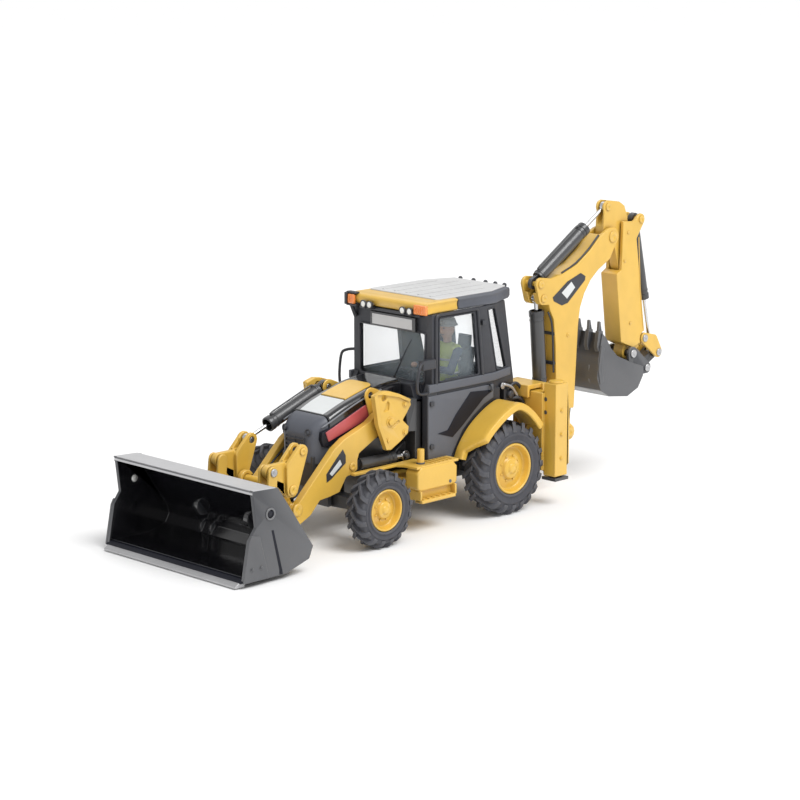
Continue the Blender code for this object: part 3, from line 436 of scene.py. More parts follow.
def placed(name, bm, paint, body, replaces):
    mesh = bpy.data.meshes.new(name)
    bm.to_mesh(mesh)
    bm.free()
    mesh.materials.append(paint)
    mesh.shade_smooth()
    item = bpy.data.objects.new(name, mesh)
    bpy.context.collection.objects.link(item)
    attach(item, body)
    if replaces:
        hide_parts(*replaces)
    return item


def piece(name, blocks, paint, body="machine", replaces=()):
    item = placed(name, joined(blocks), paint, body, replaces)
    normals_by_area(item)
    return item


def fused(name, blocks, paint, cell=0.24, replaces=()):
    """Blocks melted into one soft moulded form, for the figure."""
    item = placed(name, joined(blocks), paint, "machine", replaces)
    melt = item.modifiers.new("melt", "REMESH")
    melt.mode = "VOXEL"
    melt.voxel_size = cell * MM
    melt.use_smooth_shade = True
    relax = item.modifiers.new("relax", "SMOOTH")
    relax.factor = 0.5
    relax.iterations = 4
    return item


def refined(name, paint, width=0.18, angle=35):
    """A CAD node's shape with rounded edges, standing for that node."""
    bm = bmesh.new()
    bm.from_mesh(frame["nodes"][name].data)
    bmesh.ops.remove_doubles(bm, verts=bm.verts, dist=0.002 * MM)
    bmesh.ops.dissolve_limit(bm, angle_limit=math.radians(0.6), verts=bm.verts, edges=bm.edges)
    item = placed(name + "_shell", bm, paint, body_of(name), (name,))
    modifier = item.modifiers.new("rounding", "BEVEL")
    modifier.width = width * MM
    modifier.segments = 2
    modifier.limit_method = "ANGLE"
    modifier.angle_limit = math.radians(angle)
    modifier.use_clamp_overlap = False
    modifier.miter_outer = "MITER_ARC"
    normals_by_area(item)
    return item


def head(x, point, side, radius=0.95, height=0.45):
    """Washer and six-sided head on the outside of a plate at x."""
    origin, way = (x, *point), (side, 0, 0)
    washer = lathe([(-0.1, 0), (-0.1, radius), (0.14, radius), (0.14, 0)], origin, way, 24, 0.05)
    nut = lathe([(0.1, 0), (0.1, radius * 0.74), (height, radius * 0.70), (height, 0)], origin, way, 6, 0.08)
    return [washer, nut]


def boss(x, point, side, radius=1, height=0.35):
    """Round pin end with a shallow centre mark."""
    profile = [
        (-0.1, 0), (-0.1, radius), (height * 0.7, radius), (height, radius * 0.8), (height, radius * 0.35),
        (height * 0.7, radius * 0.25), (height * 0.7, 0),
    ]
    return lathe(profile, (x, *point), (side, 0, 0), 24)


# ---- wheels
def tyre_lugs(outer, side, axle, radius, width, count, thick):
    """Two rows of slanted lugs that meet in the middle of the tread."""
    half = width / 2
    pitch = math.tau / count
    blocks = []
    for index in range(count):
        for row in (0, 1):
            base = pitch * (index + 0.5 * row)
            stations = (
                (0.04, radius * 0.79, radius * 0.855, 0), (0.45, radius * 0.84, radius * 0.94, 0.06),
                (1.15, radius - 1.5, radius, 0.2), (half + 0.3, radius - 1.5, radius, 0.95),
            )
            loops = []
            for inward, bottom, top, share in stations:
                x = outer - side * (width - inward if row else inward)
                angle = base + pitch * share
                wide, narrow = thick * 0.62 / radius, thick * 0.40 / radius
                loop = []
                for r, spread in ((bottom, -wide), (bottom, wide), (top, narrow), (top, -narrow)):
                    turn = angle + spread
                    loop.append((x, axle[0] + r * math.sin(turn), axle[1] + r * math.cos(turn)))
                loops.append(loop)
            blocks.append(loft(loops, 0.14))
    return blocks


def wheel(end, hand, lugs, thick):
    side = 1 if hand == "left" else -1
    name = end + "_" + hand
    low, high = extent("tyre_" + name)
    outer = high.x if side > 0 else low.x
    width = high.x - low.x
    radius = (high.z - low.z) / 2
    axle = ((low.y + high.y) / 2, radius)
    rim_low, rim_high = extent("rim_" + name)
    rim_r = (rim_high.z - rim_low.z) / 2 - 0.12
    centre, inward = (outer, *axle), (-side, 0, 0)
    half_profile = [
        (0.9, rim_r + 0.16), (0.40, rim_r + 0.22), (0.22, rim_r + 0.50), (0.24, rim_r + 0.85),
        (0.42, rim_r + 1), (0.22, radius * 0.695), (0.08, radius * 0.73), (0.06, radius * 0.755),
        (0.20, radius * 0.765), (0.20, radius * 0.80), (0.42, radius * 0.86), (0.9, radius - 1.05),
        (1.8, radius - 0.85),
    ]
    profile = half_profile + [(width - t, r) for t, r in reversed(half_profile)]
    blocks = [lathe(profile, centre, inward, 72)]
    blocks += tyre_lugs(outer, side, axle, radius, width, lugs, thick)
    body = "wheel_" + name
    piece("tyre_" + name + "_tread", blocks, RUBBER, body, ("tyre_" + name,))
    disc = [
        (0.42, 0), (0.44, 0.13), (0.58, 0.19), (0.80, 0.21), (0.84, 0.29), (0.92, 0.37), (1.10, 0.41),
        (1.75, 0.43), (1.82, 0.50), (1.74, 0.56), (1.86, 0.60), (1.92, 0.70), (2.20, 0.80), (1.95, 0.87),
        (1.1, 0.905), (0.52, 0.915), (0.36, 0.935), (0.32, 0.965), (0.38, 0.995), (0.60, 1.02),
    ]
    profile = [(t, share * rim_r) for t, share in disc]
    profile += [
        (width - 0.8, rim_r * 1.02), (width - 0.8, rim_r * 0.86), (3.6, rim_r * 0.80), (width - 1.4, 2),
        (width - 1.4, 1.1), (2.4, 1.1), (2.4, 0),
    ]
    blocks = [lathe(profile, centre, inward, 56)]
    for index in range(8):
        turn = math.tau * (index + 0.5) / 8
        spot = (axle[0] + rim_r * 0.52 * math.sin(turn), axle[1] + rim_r * 0.52 * math.cos(turn))
        nut = [(-0.1, 0), (-0.1, 0.30), (0.24, 0.27), (0.24, 0)]
        blocks.append(lathe(nut, (outer - side * 1.78, *spot), (side, 0, 0), 6, 0.04))
    piece("rim_" + name + "_disc", blocks, YELLOW, body, ("rim_" + name,))


# ---- hood
HOOD_TOP = ((-3.7, 29.45), (0, 30.9), (4, 32.2), (12, 34.2), (19.8, 35))
HOOD_HALF = 6.55


def hood_loop(y, half, bottom, top, shoulder):
    right = arc((half - shoulder, top - shoulder), shoulder, 0, 90, 8)
    left = arc((shoulder - half, top - shoulder), shoulder, 90, 180, 8)
    return [(x, y, z) for x, z in [(half, bottom)] + right + left + [(-half, bottom)]]


def on_hood(stations, lift, depth=0.4):
    """Thin sheet lying on the flat of the hood; stations are (y, half width)."""
    loops = []
    for y, half in stations:
        z = crown_height(y)
        edge = [(half, z - depth), (half, z + lift * 0.4), (half - 0.25, z + lift)]
        loops.append([(x, y, z) for x, z in edge] + [(-x, y, z) for x, z in reversed(edge)])
    return loft(loops, 0.05)


def crown_height(y):
    """Height of the middle of the hood at a distance from the front axle."""
    crown = smooth_path(HOOD_TOP, 8)
    for (y0, z0), (y1, z1) in zip(crown, crown[1:]):
        if y <= y1:
            return z0 + (z1 - z0) * (y - y0) / (y1 - y0)
    return crown[-1][1]


def hood():
    crown = smooth_path(HOOD_TOP, 4)
    shell = [hood_loop(y, HOOD_HALF, 22.4, z, 1.5) for y, z in crown]
    piece("hood_shell", [loft(shell, 0.25)], GLOSS_BLACK, replaces=("hood",))
    lid = [(3.5, 4.15), (6, 4.2), (9, 4.2), (11.6, 4.1), (12.3, 3.7), (12.7, 2.9)]
    piece("hood_lid", [on_hood(lid, 0.3)], YELLOW)
    label = [(-3.5, 3.9), (-1.5, 4.1), (0.5, 4.15), (3.15, 4.15)]
    piece("hood_label", [on_hood(label, 0.12)], WHITE)
    # Grey line along each hood shoulder: a painted highlight of the light catching the crease.
    shoulder_highlight_path = ((-6.3, 27.15), (-3, 28.4), (0.6, 29.8), (5, 31.4), (10, 32.9), (13, 33.5))
    shoulder_highlights = [hose([((HOOD_HALF + 0.02) * side, y, z) for y, z in shoulder_highlight_path], 0.2, 4) for side in SIDES]
    piece("hood_shoulder_highlights", shoulder_highlights, SHOULDER_HIGHLIGHT_GREY)
    stations = (
        (-3.85, 6.3, 18.2, 29.35, 1.9), (-5.2, 6.1, 18.2, 28.85, 2), (-6.6, 5.6, 18.3, 28, 2.1),
        (-7.7, 4.9, 18.5, 26.9, 2.1), (-8.4, 4.1, 18.8, 25.9, 2), (-8.7, 3.4, 19.2, 25.1, 1.8),
    )
    nose = [loft([hood_loop(*station) for station in stations], 0.25)]
    piece("nose", nose, GREY, replaces=("front_grille",))
    bars = [box(-3, 3, -9.05, -8.5, z, z + 0.42, 0.12) for z in (19.9, 20.9, 21.9, 22.9, 23.9)]
    bars += [box(x, x + 0.4, -8.95, -8.5, 19.6, 24.6, 0.1) for x in (-3.3, -0.2, 2.9)]
    piece("grille_bars", bars, BLACK)
    rings, lenses = [], []
    for side in SIDES:
        spot, way = (4 * side, -8.15, 26), (0.25 * side, -1, 0.15)
        rings.append(lathe([(0, 0.7), (0.4, 0.85), (0.4, 0.62), (0.2, 0.5)], spot, way, 24))
        pane = [(-0.3, 0), (-0.3, 0.58), (0.2, 0.54), (0.3, 0.3), (0.32, 0)]
        lenses.append(lathe(pane, spot, way, 24))
    piece("nose_lamp_rings", rings, BLACK)
    piece("nose_lamp_lenses", lenses, GREY)
    moulding = [
        (-6.5, 24.3), (-5.8, 22.5), (9.8, 22.7), (19, 26.5), (19.4, 32), (9.4, 31.3), (-3.4, 26.9),
        (-6.3, 26),
    ]
    panel = [(-5.3, 25.9), (-4.4, 23.6), (8.9, 27.3), (8.6, 31)]
    sides, reds = [], []
    for side in SIDES:
        sides.append(plate(moulding, *span(side, 5.2, 6.72), 0.12))
        reds.append(plate(panel, *span(side, 6.4, 6.95), 0.16))
        for index in range(5):
            y = 11.4 + index * 1.5
            vent = [(y, 27.2), (y + 0.6, 27.2), (y + 1.2, 31), (y + 0.6, 31)]
            sides.append(plate(vent, *span(side, 6.4, 6.90), 0.08))
    piece("hood_sides", sides, DEEP_BLACK)
    piece("hood_red_panels", reds, RED)


# ---- cab
CAB_SIDE, CAB_FRONT = 13.4, 23.2
CORNER_Y, CORNER_LEAN = 44.6, 3
REAR_Y, REAR_LEAN, REAR_HALF = 55, 3.4, 10.4
SILL_Z, LEAN_HEIGHT = 31, 20


def cab_lean(z):
    """Share of the lean of the rear walls reached at height z."""
    return max(0, (z - SILL_Z) / LEAN_HEIGHT)


def cab_corner_at(z):
    return CORNER_Y - CORNER_LEAN * cab_lean(z)


def cab_rear_at(z):
    return REAR_Y - REAR_LEAN * cab_lean(z)


def quarter_reach(y, z):
    """X of the slanting rear quarter of the cab wall at (y, z)."""
    past = max(0, y - cab_corner_at(z))
    return CAB_SIDE - past * (CAB_SIDE - REAR_HALF) / (cab_rear_at(z) - cab_corner_at(z))


def window_ring():
    """Sheet of clear plastic standing just inside the cab walls."""
    loops = []
    for z, inset in ((31.6, 1.4), (50.7, 1.4), (50.7, 1.85), (31.6, 1.85)):
        x = CAB_SIDE - inset
        half = [
            (x, CAB_FRONT + inset), (x, cab_corner_at(z) - 0.4 * inset),
            (REAR_HALF - 0.6 * inset, cab_rear_at(z) - inset),
        ]
        loops.append([(x, y, z) for x, y in half] + [(-x, y, z) for x, y in reversed(half)])
    return skin(loops, True)


def mirrored(outline, x0, x1, soft=0.15):
    return [plate(outline, *span(side, x0, x1), soft) for side in SIDES]


def cab():
    refined("cab_frame", BLACK, 0.22)
    piece("window_sheet", [window_ring()], GLASS, replaces=("glazing",))
    door = [
        (21.8, 15.7), (29.4, 15.4), (31.4, 18.4), (33.6, 21.6), (37, 24.4), (41, 26.8), (44.4, 28),
        (44.4, 31.4), (21.8, 31.4),
    ]
    stripe = [
        (24.9, 22), (30, 20.4), (33.5, 22.8), (40.8, 28.4), (44.2, 30), (36.2, 30.6), (31, 25.7),
        (28.3, 22.4),
    ]
    rails = []
    for side in SIDES:
        plan = [(13.9, 21.9), (13.9, 44.6), (11.5, 52.8), (10.9, 52.6), (13.1, 44.4), (13.1, 21.9)]
        rails.append(slab([(x * side, y) for x, y in plan], 32.2, 34.2, 0.25))
    piece("door_panels", mirrored(door, CAB_SIDE - 0.3, CAB_SIDE + 0.28, 0.2), GREY)
    piece("door_stripes", mirrored(stripe, CAB_SIDE, CAB_SIDE + 0.42, 0.1), DEEP_BLACK)
    piece("belt_rails", rails, GREY)
    foot = [(21.7, 15.3), (24.8, 15.3), (24.8, 34.2), (22.9, 34.2), (21.7, 32)]
    piece("door_pillar_feet", mirrored(foot, 11.6, CAB_SIDE + 0.1, 0.3), BLACK)
    seals, frames = [], []
    for side in SIDES:
        def on_side(points, x):
            return [(x * side, y, z) for y, z in points]

        glass = on_side([(25.6, 34.4), (39.4, 34.4), (37.6, 49.9), (25.6, 49.9)], CAB_SIDE - 0.02)
        seals.append(wire(glass, 0.7, 0.24))
        corners = ((46.4, 34.4), (51.3, 34.4), (46.3, 49.9), (42.6, 49.9))
        quarter = [(quarter_reach(y, z) * side, y, z) for y, z in corners]
        seals.append(wire(quarter, 0.6, 0.22))
        outline = on_side([(24.5, 34), (24.5, 50.6), (38.7, 50.6), (40.6, 34)], CAB_SIDE + 0.1)
        frames.append(wire(outline, 0.9, 0.42, False))
    corners = ((-10.9, 34), (10.9, 34), (11.3, 46.3), (-11.3, 46.3))
    screen = [(x, CAB_FRONT - 0.05, z) for x, z in corners]
    seals.append(wire(screen, 0.8, 0.26))
    corners = ((-8.8, 33), (8.8, 33), (7.8, 49.4), (-7.8, 49.4))
    rear = [(x, cab_rear_at(z), z) for x, z in corners]
    seals.append(wire(rear, 0.8, 0.26))
    piece("window_seals", seals, BLACK)
    piece("door_frames", frames, BLACK)
    wiper = [
        rod((1, 22.85, 34.2), (5.2, 22.75, 41.6), 0.16), rod((3.2, 22.7, 38.6), (7.2, 22.7, 44.4), 0.13),
        stud((1, 23.2, 34), (0, -1, 0), 0.6, 0.5, 0.5, 20, 0.08),
    ]
    piece("wiper", wiper, BLACK)
    sign = curtain([(-6.7, 46.2), (8.5, 46.2), (8.5, 49.7), (-6.7, 49.7)], 22.35, 23.3, 0.15)
    piece("sign_board", [sign], GLOSS_BLACK)
    blank = curtain([(-5.9, 46.7), (7.6, 46.7), (7.6, 49.2), (-5.9, 49.2)], 22.22, 22.6, 0.06)
    piece("sign_blank", [blank], CREAM)
    hinges = []
    for side in SIDES:
        x0, x1 = span(side, CAB_SIDE, CAB_SIDE + 0.75)
        for y, z in ((22.2, 18.6), (22.2, 29), (40, 46.5)):
            hinges.append(box(x0, x1, y, y + 1.2, z, z + 1.1, 0.12))
        reach = (CAB_SIDE, CAB_SIDE + 0.95, CAB_SIDE + 0.95, CAB_SIDE)
        grip = [(x * side, 42.9, z) for x, z in zip(reach, (29.6, 29.8, 31.2, 31.4))]
        hinges.append(wire(grip, 0.4, 0.22, False))
    piece("door_fittings", hinges, BLACK)


def mirrors_and_rails():
    left = [
        (13.4, 22, 40), (14.6, 18.6, 40), (15.2, 17, 38.4), (15.2, 16.4, 34.8), (14.6, 17.8, 32.8),
        (13.4, 22, 32.2),
    ]
    right = [
        (-13.2, 24.6, 39.2), (-15.4, 22.6, 38.9), (-16.2, 21.6, 37.6), (-16.2, 21, 32.2),
        (-15.4, 21.4, 30.2), (-13.2, 24.2, 30.2),
    ]
    rails = [hose(rail, 0.36, 5) for rail in (left, right)]
    rails.append(box(12.9, 14.7, 19, 23.3, 38.2, 40.5, 0.3))
    piece("grab_rails", rails, BLACK)
    root = [
        box(-13.7, -13, 20.3, 22.8, 50.7, 53.7, 0.25), box(-13.6, -10.4, 20.9, 22.4, 53.4, 53.9, 0.2),
        box(-13.6, -10.4, 20.9, 22.4, 50.4, 50.9, 0.2), rod((-12.9, 21.9, 50.8), (-12.3, 22.9, 47.6), 0.5),
    ]
    piece("mirror_root", root, BLACK)


def roof():
    front = [(13.1, 22.1), (13.1, 32.6), (-13.1, 32.6), (-13.1, 22.1)]
    rear = [(13.1, 32.9), (13.1, 46), (9.6, 54.4), (-9.6, 54.4), (-13.1, 46), (-13.1, 32.9)]
    levels = ((50.95, 0.3), (51.6, -0.35), (52.2, -0.55), (53, -0.45), (53.55, 0.1), (53.85, 1))

    def grown(outline, inset, joint_y):
        made = []
        for x, y in outline:
            width = x - math.copysign(inset, x)
            if abs(y - joint_y) < 0.01:
                made.append((width, y))
            else:
                made.append((width, y + inset if y < 40 else y - inset))
        return made

    front_loops = [[(x, y, z) for x, y in grown(front, inset, 32.6)] for z, inset in levels]
    rear_loops = [[(x, y, z) for x, y in grown(rear, inset, 32.9)] for z, inset in levels]
    piece("roof_front", [loft(front_loops, 0.35)], YELLOW, replaces=("roof",))
    piece("roof_rear", [loft(rear_loops, 0.35)], GREY)
    top = [
        (11, 26.6), (11.7, 27.8), (11.7, 45.6), (8.7, 53.6), (-8.7, 53.6), (-11.7, 45.6), (-11.7, 27.8),
        (-11, 26.6),
    ]
    panel = [slab(top, 53.4, 54.15, 0.25)]
    for x in (-8, -4, 0, 4, 8):
        panel.append(box(x - 0.35, x + 0.35, 28, 50 if abs(x) < 7 else 46.5, 53.9, 54.35, 0.15))
    piece("roof_panel", panel, CREAM)
    knobs = []
    cap = [(0, 0), (0, 0.5), (0.4, 0.58), (0.8, 0.42), (0.95, 0)]
    for x in (-7.3, -2.8, 1.3, 4.6, 7.7):
        knobs.append(lathe(cap, (x, 54.3, 53.6), (0, 0.4, 1), 16, 0.05))
    piece("roof_knobs", knobs, BLACK)
    shells, lenses = [], []
    shade = [(1, 0), (1, 0.6), (0.3, 0.95), (0, 0.95), (0, 0.80), (0.3, 0.7), (0.3, 0)]
    pane = [(0.4, 0), (0.4, 0.78), (0.1, 0.78), (-0.08, 0.5), (-0.14, 0)]
    for x in (-7.2, -5.1, 6.1, 8.5):
        shells.append(lathe(shade, (x, 20.3, 51.5), (0, 1, 0), 24))
        lenses.append(lathe(pane, (x, 20.3, 51.5), (0, 1, 0), 24))
        shells.append(box(x - 0.3, x + 0.3, 20.8, 22.3, 50.3, 51, 0.08))
    shells.append(box(-10.2, 10.2, 22.1, 22.9, 50, 50.8, 0.15))
    piece("work_lamp_shells", shells, BLACK)
    piece("work_lamp_lenses", lenses, LAMP, replaces=("front_lamps",))
    for hand, x0, x1 in (("left", 9.6, 13.8), ("right", -12.9, -10.7)):
        ribs = int((x1 - x0 - 0.5) / 0.62)
        lens = [box(x0, x1, 20.6, 21.4, 51, 53.3, 0.35)]
        for i in range(ribs):
            start = x0 + 0.4 + i * 0.62
            lens.append(box(start, start + 0.28, 20.45, 20.8, 51.4, 52.9, 0.08))
        piece("indicator_lens_" + hand, lens, ORANGE, replaces=("indicator_" + hand,))


# ---- interior and operator
def interior():
    cushion = [(34.2, 25), (45, 25.4), (45.6, 28), (44.4, 28.5), (35.2, 27.9), (34, 27)]
    seat = [
        plate(cushion, -4, 4, 0.5),
        plate([(44.9, 28.4), (46.6, 28.6), (48.6, 38.4), (47.6, 38.9), (46.3, 38)], -3.7, 3.7, 0.45),
        plate([(35.8, 15), (43.4, 15), (44.4, 25.4), (35.2, 25.2)], -3, 3, 0.3),
        plate([(47.7, 38.3), (48.9, 38.5), (49.2, 41.4), (48.1, 41.5)], -1.9, 1.9, 0.4),
    ]
    for side in SIDES:
        seat.append(box(*span(side, 4.3, 5.3), 37, 44, 31.6, 32.5, 0.3))
        seat.append(box(*span(side, 4.5, 5.1), 42.6, 43.6, 26.5, 31.8, 0.15))
    piece("seat_form", seat, BLACK, replaces=("seat",))
    base, top = (0, 27.4, 14.9), (0, 30, 34.6)
    lean = Vector((0, 0.45, 1))
    ring = []
    for index in range(32):
        turn = math.tau * index / 32
        across, up = Vector((1, 0, 0)), lean.normalized().cross(Vector((1, 0, 0)))
        ring.append(Vector(top) + (across * math.cos(turn) + up * math.sin(turn)) * 2.6)
    spokes = [rod(top, ring[index], 0.22) for index in (2, 14, 24)]
    column = [rod(base, (0, 29.7, 33.9), 0.7), rod((0, 29.6, 33.4), top, 0.45)]
    console = [
        box(-3.2, 3.2, 25, 27.6, 15, 30.5, 0.4),
        plate([(25, 30), (28.6, 30.4), (28, 31.6), (25.2, 33.2)], -2.8, 2.8, 0.3),
    ]
    steering = [tube(ring, 0.3, True)] + spokes + column + console
    piece("steering", steering, BLACK, replaces=("steering_wheel",))
    levers = []
    for x in (-6.8, -5.6, 5.8, 7):
        levers.append(rod((x, 33, 22), (x, 32, 31), 0.22))
        levers.append(ball((x, 31.9, 31.4), (0.55, 0.55, 0.7)))
    piece("levers", levers, BLACK)


def operator():
    torso = [
        ball((0, 42.2, 33.4), (3.2, 2.3, 5)), ball((0, 42.6, 37.6), (3.5, 2.1, 2.9)),
        ball((0, 41.6, 30.4), (3, 2.6, 2.2)),
    ]
    torso += [ball((2.9 * side, 42.4, 38.9), (1.3, 1.3, 1.3)) for side in SIDES]
    fused("operator_vest", torso, VEST, replaces=("operator",))
    bands = []
    for z, y, rx, ry in ((33, 42.2, 3.32, 2.42), (36.2, 42.5, 3.52, 2.32)):
        turns = [math.tau * i / 32 for i in range(32)]
        loop = [(rx * math.cos(turn), y + ry * math.sin(turn), z) for turn in turns]
        bands.append(tube(loop, 0.28, True))
    piece("operator_bands", bands, SILVER)
    limbs, legs, hands = [], [], []
    for side in SIDES:
        shoulder, elbow = (3.5 * side, 42.2, 38.4), (4.3 * side, 38.9, 34)
        wrist, palm = (2.7 * side, 33.9, 35.3), (2.5 * side, 33.2, 35.5)
        limbs += [rod(shoulder, elbow, 1.05), rod(elbow, wrist, 0.85)]
        limbs += [ball(elbow, (1.1, 1.1, 1.1)), ball(shoulder, (1.25, 1.25, 1.25))]
        hands += [ball(palm, (0.75, 0.95, 0.7)), rod(wrist, palm, 0.6)]
        hip, knee, foot = (1.7 * side, 41.6, 29.9), (2 * side, 34, 29.8), (2 * side, 32.2, 17)
        legs += [rod(hip, knee, 1.45), rod(knee, foot, 1.15)]
        legs += [ball(knee, (1.4, 1.4, 1.4)), ball(hip, (1.6, 1.6, 1.6))]
        legs += [ball((2 * side, 31.2, 15.9), (1.15, 2.1, 0.9))]
    fused("operator_sleeves", limbs, TROUSERS)
    fused("operator_legs", legs, TROUSERS, 0.3)
    hands += [rod((0, 42.3, 40.2), (0, 42.2, 42.4), 1.05), ball((0, 42.1, 43.6), (1.75, 2, 2.35))]
    hands.append(ball((0, 40.2, 43.2), (0.28, 0.42, 0.55)))
    hands += [ball((1.72 * side, 42.3, 43.4), (0.3, 0.5, 0.7)) for side in SIDES]
    fused("operator_head", hands, SKIN, 0.2)
    face = [ball((x, 40.36, 43.95), (0.22, 0.14, 0.2)) for x in (0.65, -0.65)]
    face.append(tube([(-0.55, 40.55, 42.35), (0, 40.38, 42.28), (0.55, 40.55, 42.35)], 0.09))
    piece("operator_face", face, GREY)
    dome = [
        (0, 0), (0, 2.6), (0.22, 2.7), (0.4, 2.3), (0.9, 2.25), (1.6, 1.95), (2.2, 1.35), (2.5, 0.6),
        (2.56, 0),
    ]
    helmet = lathe(dome, (0, 42.2, 44.55), (0, 0, 1), 32)
    crest = [(0, 40, 45.4), (0, 41, 46.7), (0, 42.2, 47.15), (0, 43.4, 46.7), (0, 44.4, 45.4)]
    ridge = hose(crest, 0.3, 4)
    piece("operator_helmet", [helmet, ridge], WHITE)


# ---- side bodywork
FENDER_TOP = (
    (30.4, 15.2), (31.3, 17.2), (32.2, 18.6), (33.2, 19.9), (35.2, 22), (37.6, 23.8), (40.4, 25.5),
    (43.5, 26.9), (46.2, 27.4), (49.4, 26), (52.4, 23.5), (54.6, 21),
)
FENDER_REACH = ((0, 16.4), (17.2, 16.4), (18.8, 18.4), (19.8, 20.2), (20.4, 21.2), (99, 21.2))


def fender_reach(y, z):
    """How far out the fender goes; it is narrower beside the step."""
    if y > REAR_AXLE[0]:
        return FENDER_REACH[-1][1]
    for (z0, x0), (z1, x1) in zip(FENDER_REACH, FENDER_REACH[1:]):
        if z <= z1:
            return x0 + (x1 - x0) * (z - z0) / (z1 - z0)
    return FENDER_REACH[-1][1]


def fenders():
    path = smooth_path(FENDER_TOP, 4)
    for hand, side in HANDS:
        inner = extent("fender_left")[0].x
        loops = []
        for y, z in path:
            way = (Vector(REAR_AXLE) - Vector((y, z))).normalized()
            out = fender_reach(y, z)
            section = (
                (inner, 0), (out - 2.2, 0), (out - 1.6, -0.12), (out - 0.5, -0.12), (out - 0.1, 0.1),
                (out, 0.5), (out, 1.5), (out - 0.25, 1.75), (out - 0.7, 1.75), (out - 0.9, 1.5),
                (out - 0.9, 1), (inner, 1),
            )
            loops.append([(x * side, y + way.x * depth, z + way.y * depth) for x, depth in section])
        piece("fender_arch_" + hand, [loft(loops, 0.08)], YELLOW, replaces=("fender_" + hand,))


def steps():
    upper = [
        (13.9, 10.9), (14.6, 10.2), (26.5, 10.2), (27.2, 10.9), (27.2, 14.6), (26, 15.9), (15.1, 15.9),
        (13.9, 14.6),
    ]
    deck = [
        (10.4, -0.8), (11.8, -0.8), (11.8, 12.6), (13.6, 13.7), (17.7, 13.9), (17.7, 28), (13.7, 28),
        (13.7, 21), (10.4, 20),
    ]
    for hand, side in HANDS:
        blocks = [
            plate(upper, *span(side, 13.8, 18), 0.5),
            box(*span(side, 13.8, 17.1), 14.2, 26.9, 7.95, 10.5, 0.25),
            box(*span(side, 5.5, 14.5), 14.6, 26.6, 8.9, 12.8, 0.2),
            box(*span(side, 16.8, 19.2), 14.2, 25.6, 7.5, 8.3, 0.2),
            box(*span(side, 16.9, 18.6), 14.2, 14.8, 7.6, 10.4, 0.2),
            box(*span(side, 16.9, 18.6), 25.9, 26.5, 7.9, 10.4, 0.2),
            rod((15.4 * side, 17.4, 15.4), (15.4 * side, 17.4, 19.8), 0.88, 28, 0.2),
            slab([(x * side, y) for x, y in deck], 15.55, 16.2, 0.15),
        ]
        for index in range(6):
            y = 19.6 + index * 1.3
            blocks.append(box(*span(side, 14.4, 17.2), y, y + 0.4, 16.1, 16.4, 0.08))
            y = 15 + index * 1.8
            blocks.append(box(*span(side, 17.5, 19), y, y + 0.4, 8.2, 8.5, 0.08))
        piece("step_tank_" + hand, blocks, YELLOW, replaces=("step_" + hand,))
        collar = [(0, 0.8), (0, 1), (0.5, 1), (0.5, 0.8)]
        fittings = [
            lathe(collar, (15.4 * side, 17.4, 16.1), (0, 0, 1), 24, 0.05),
            stud((17.9 * side, 24.8, 11.2), (side, 0, 0), 0.45, 0.38, 0.25, 16, 0.05),
        ]
        piece("tank_fittings_" + hand, fittings, GREY)


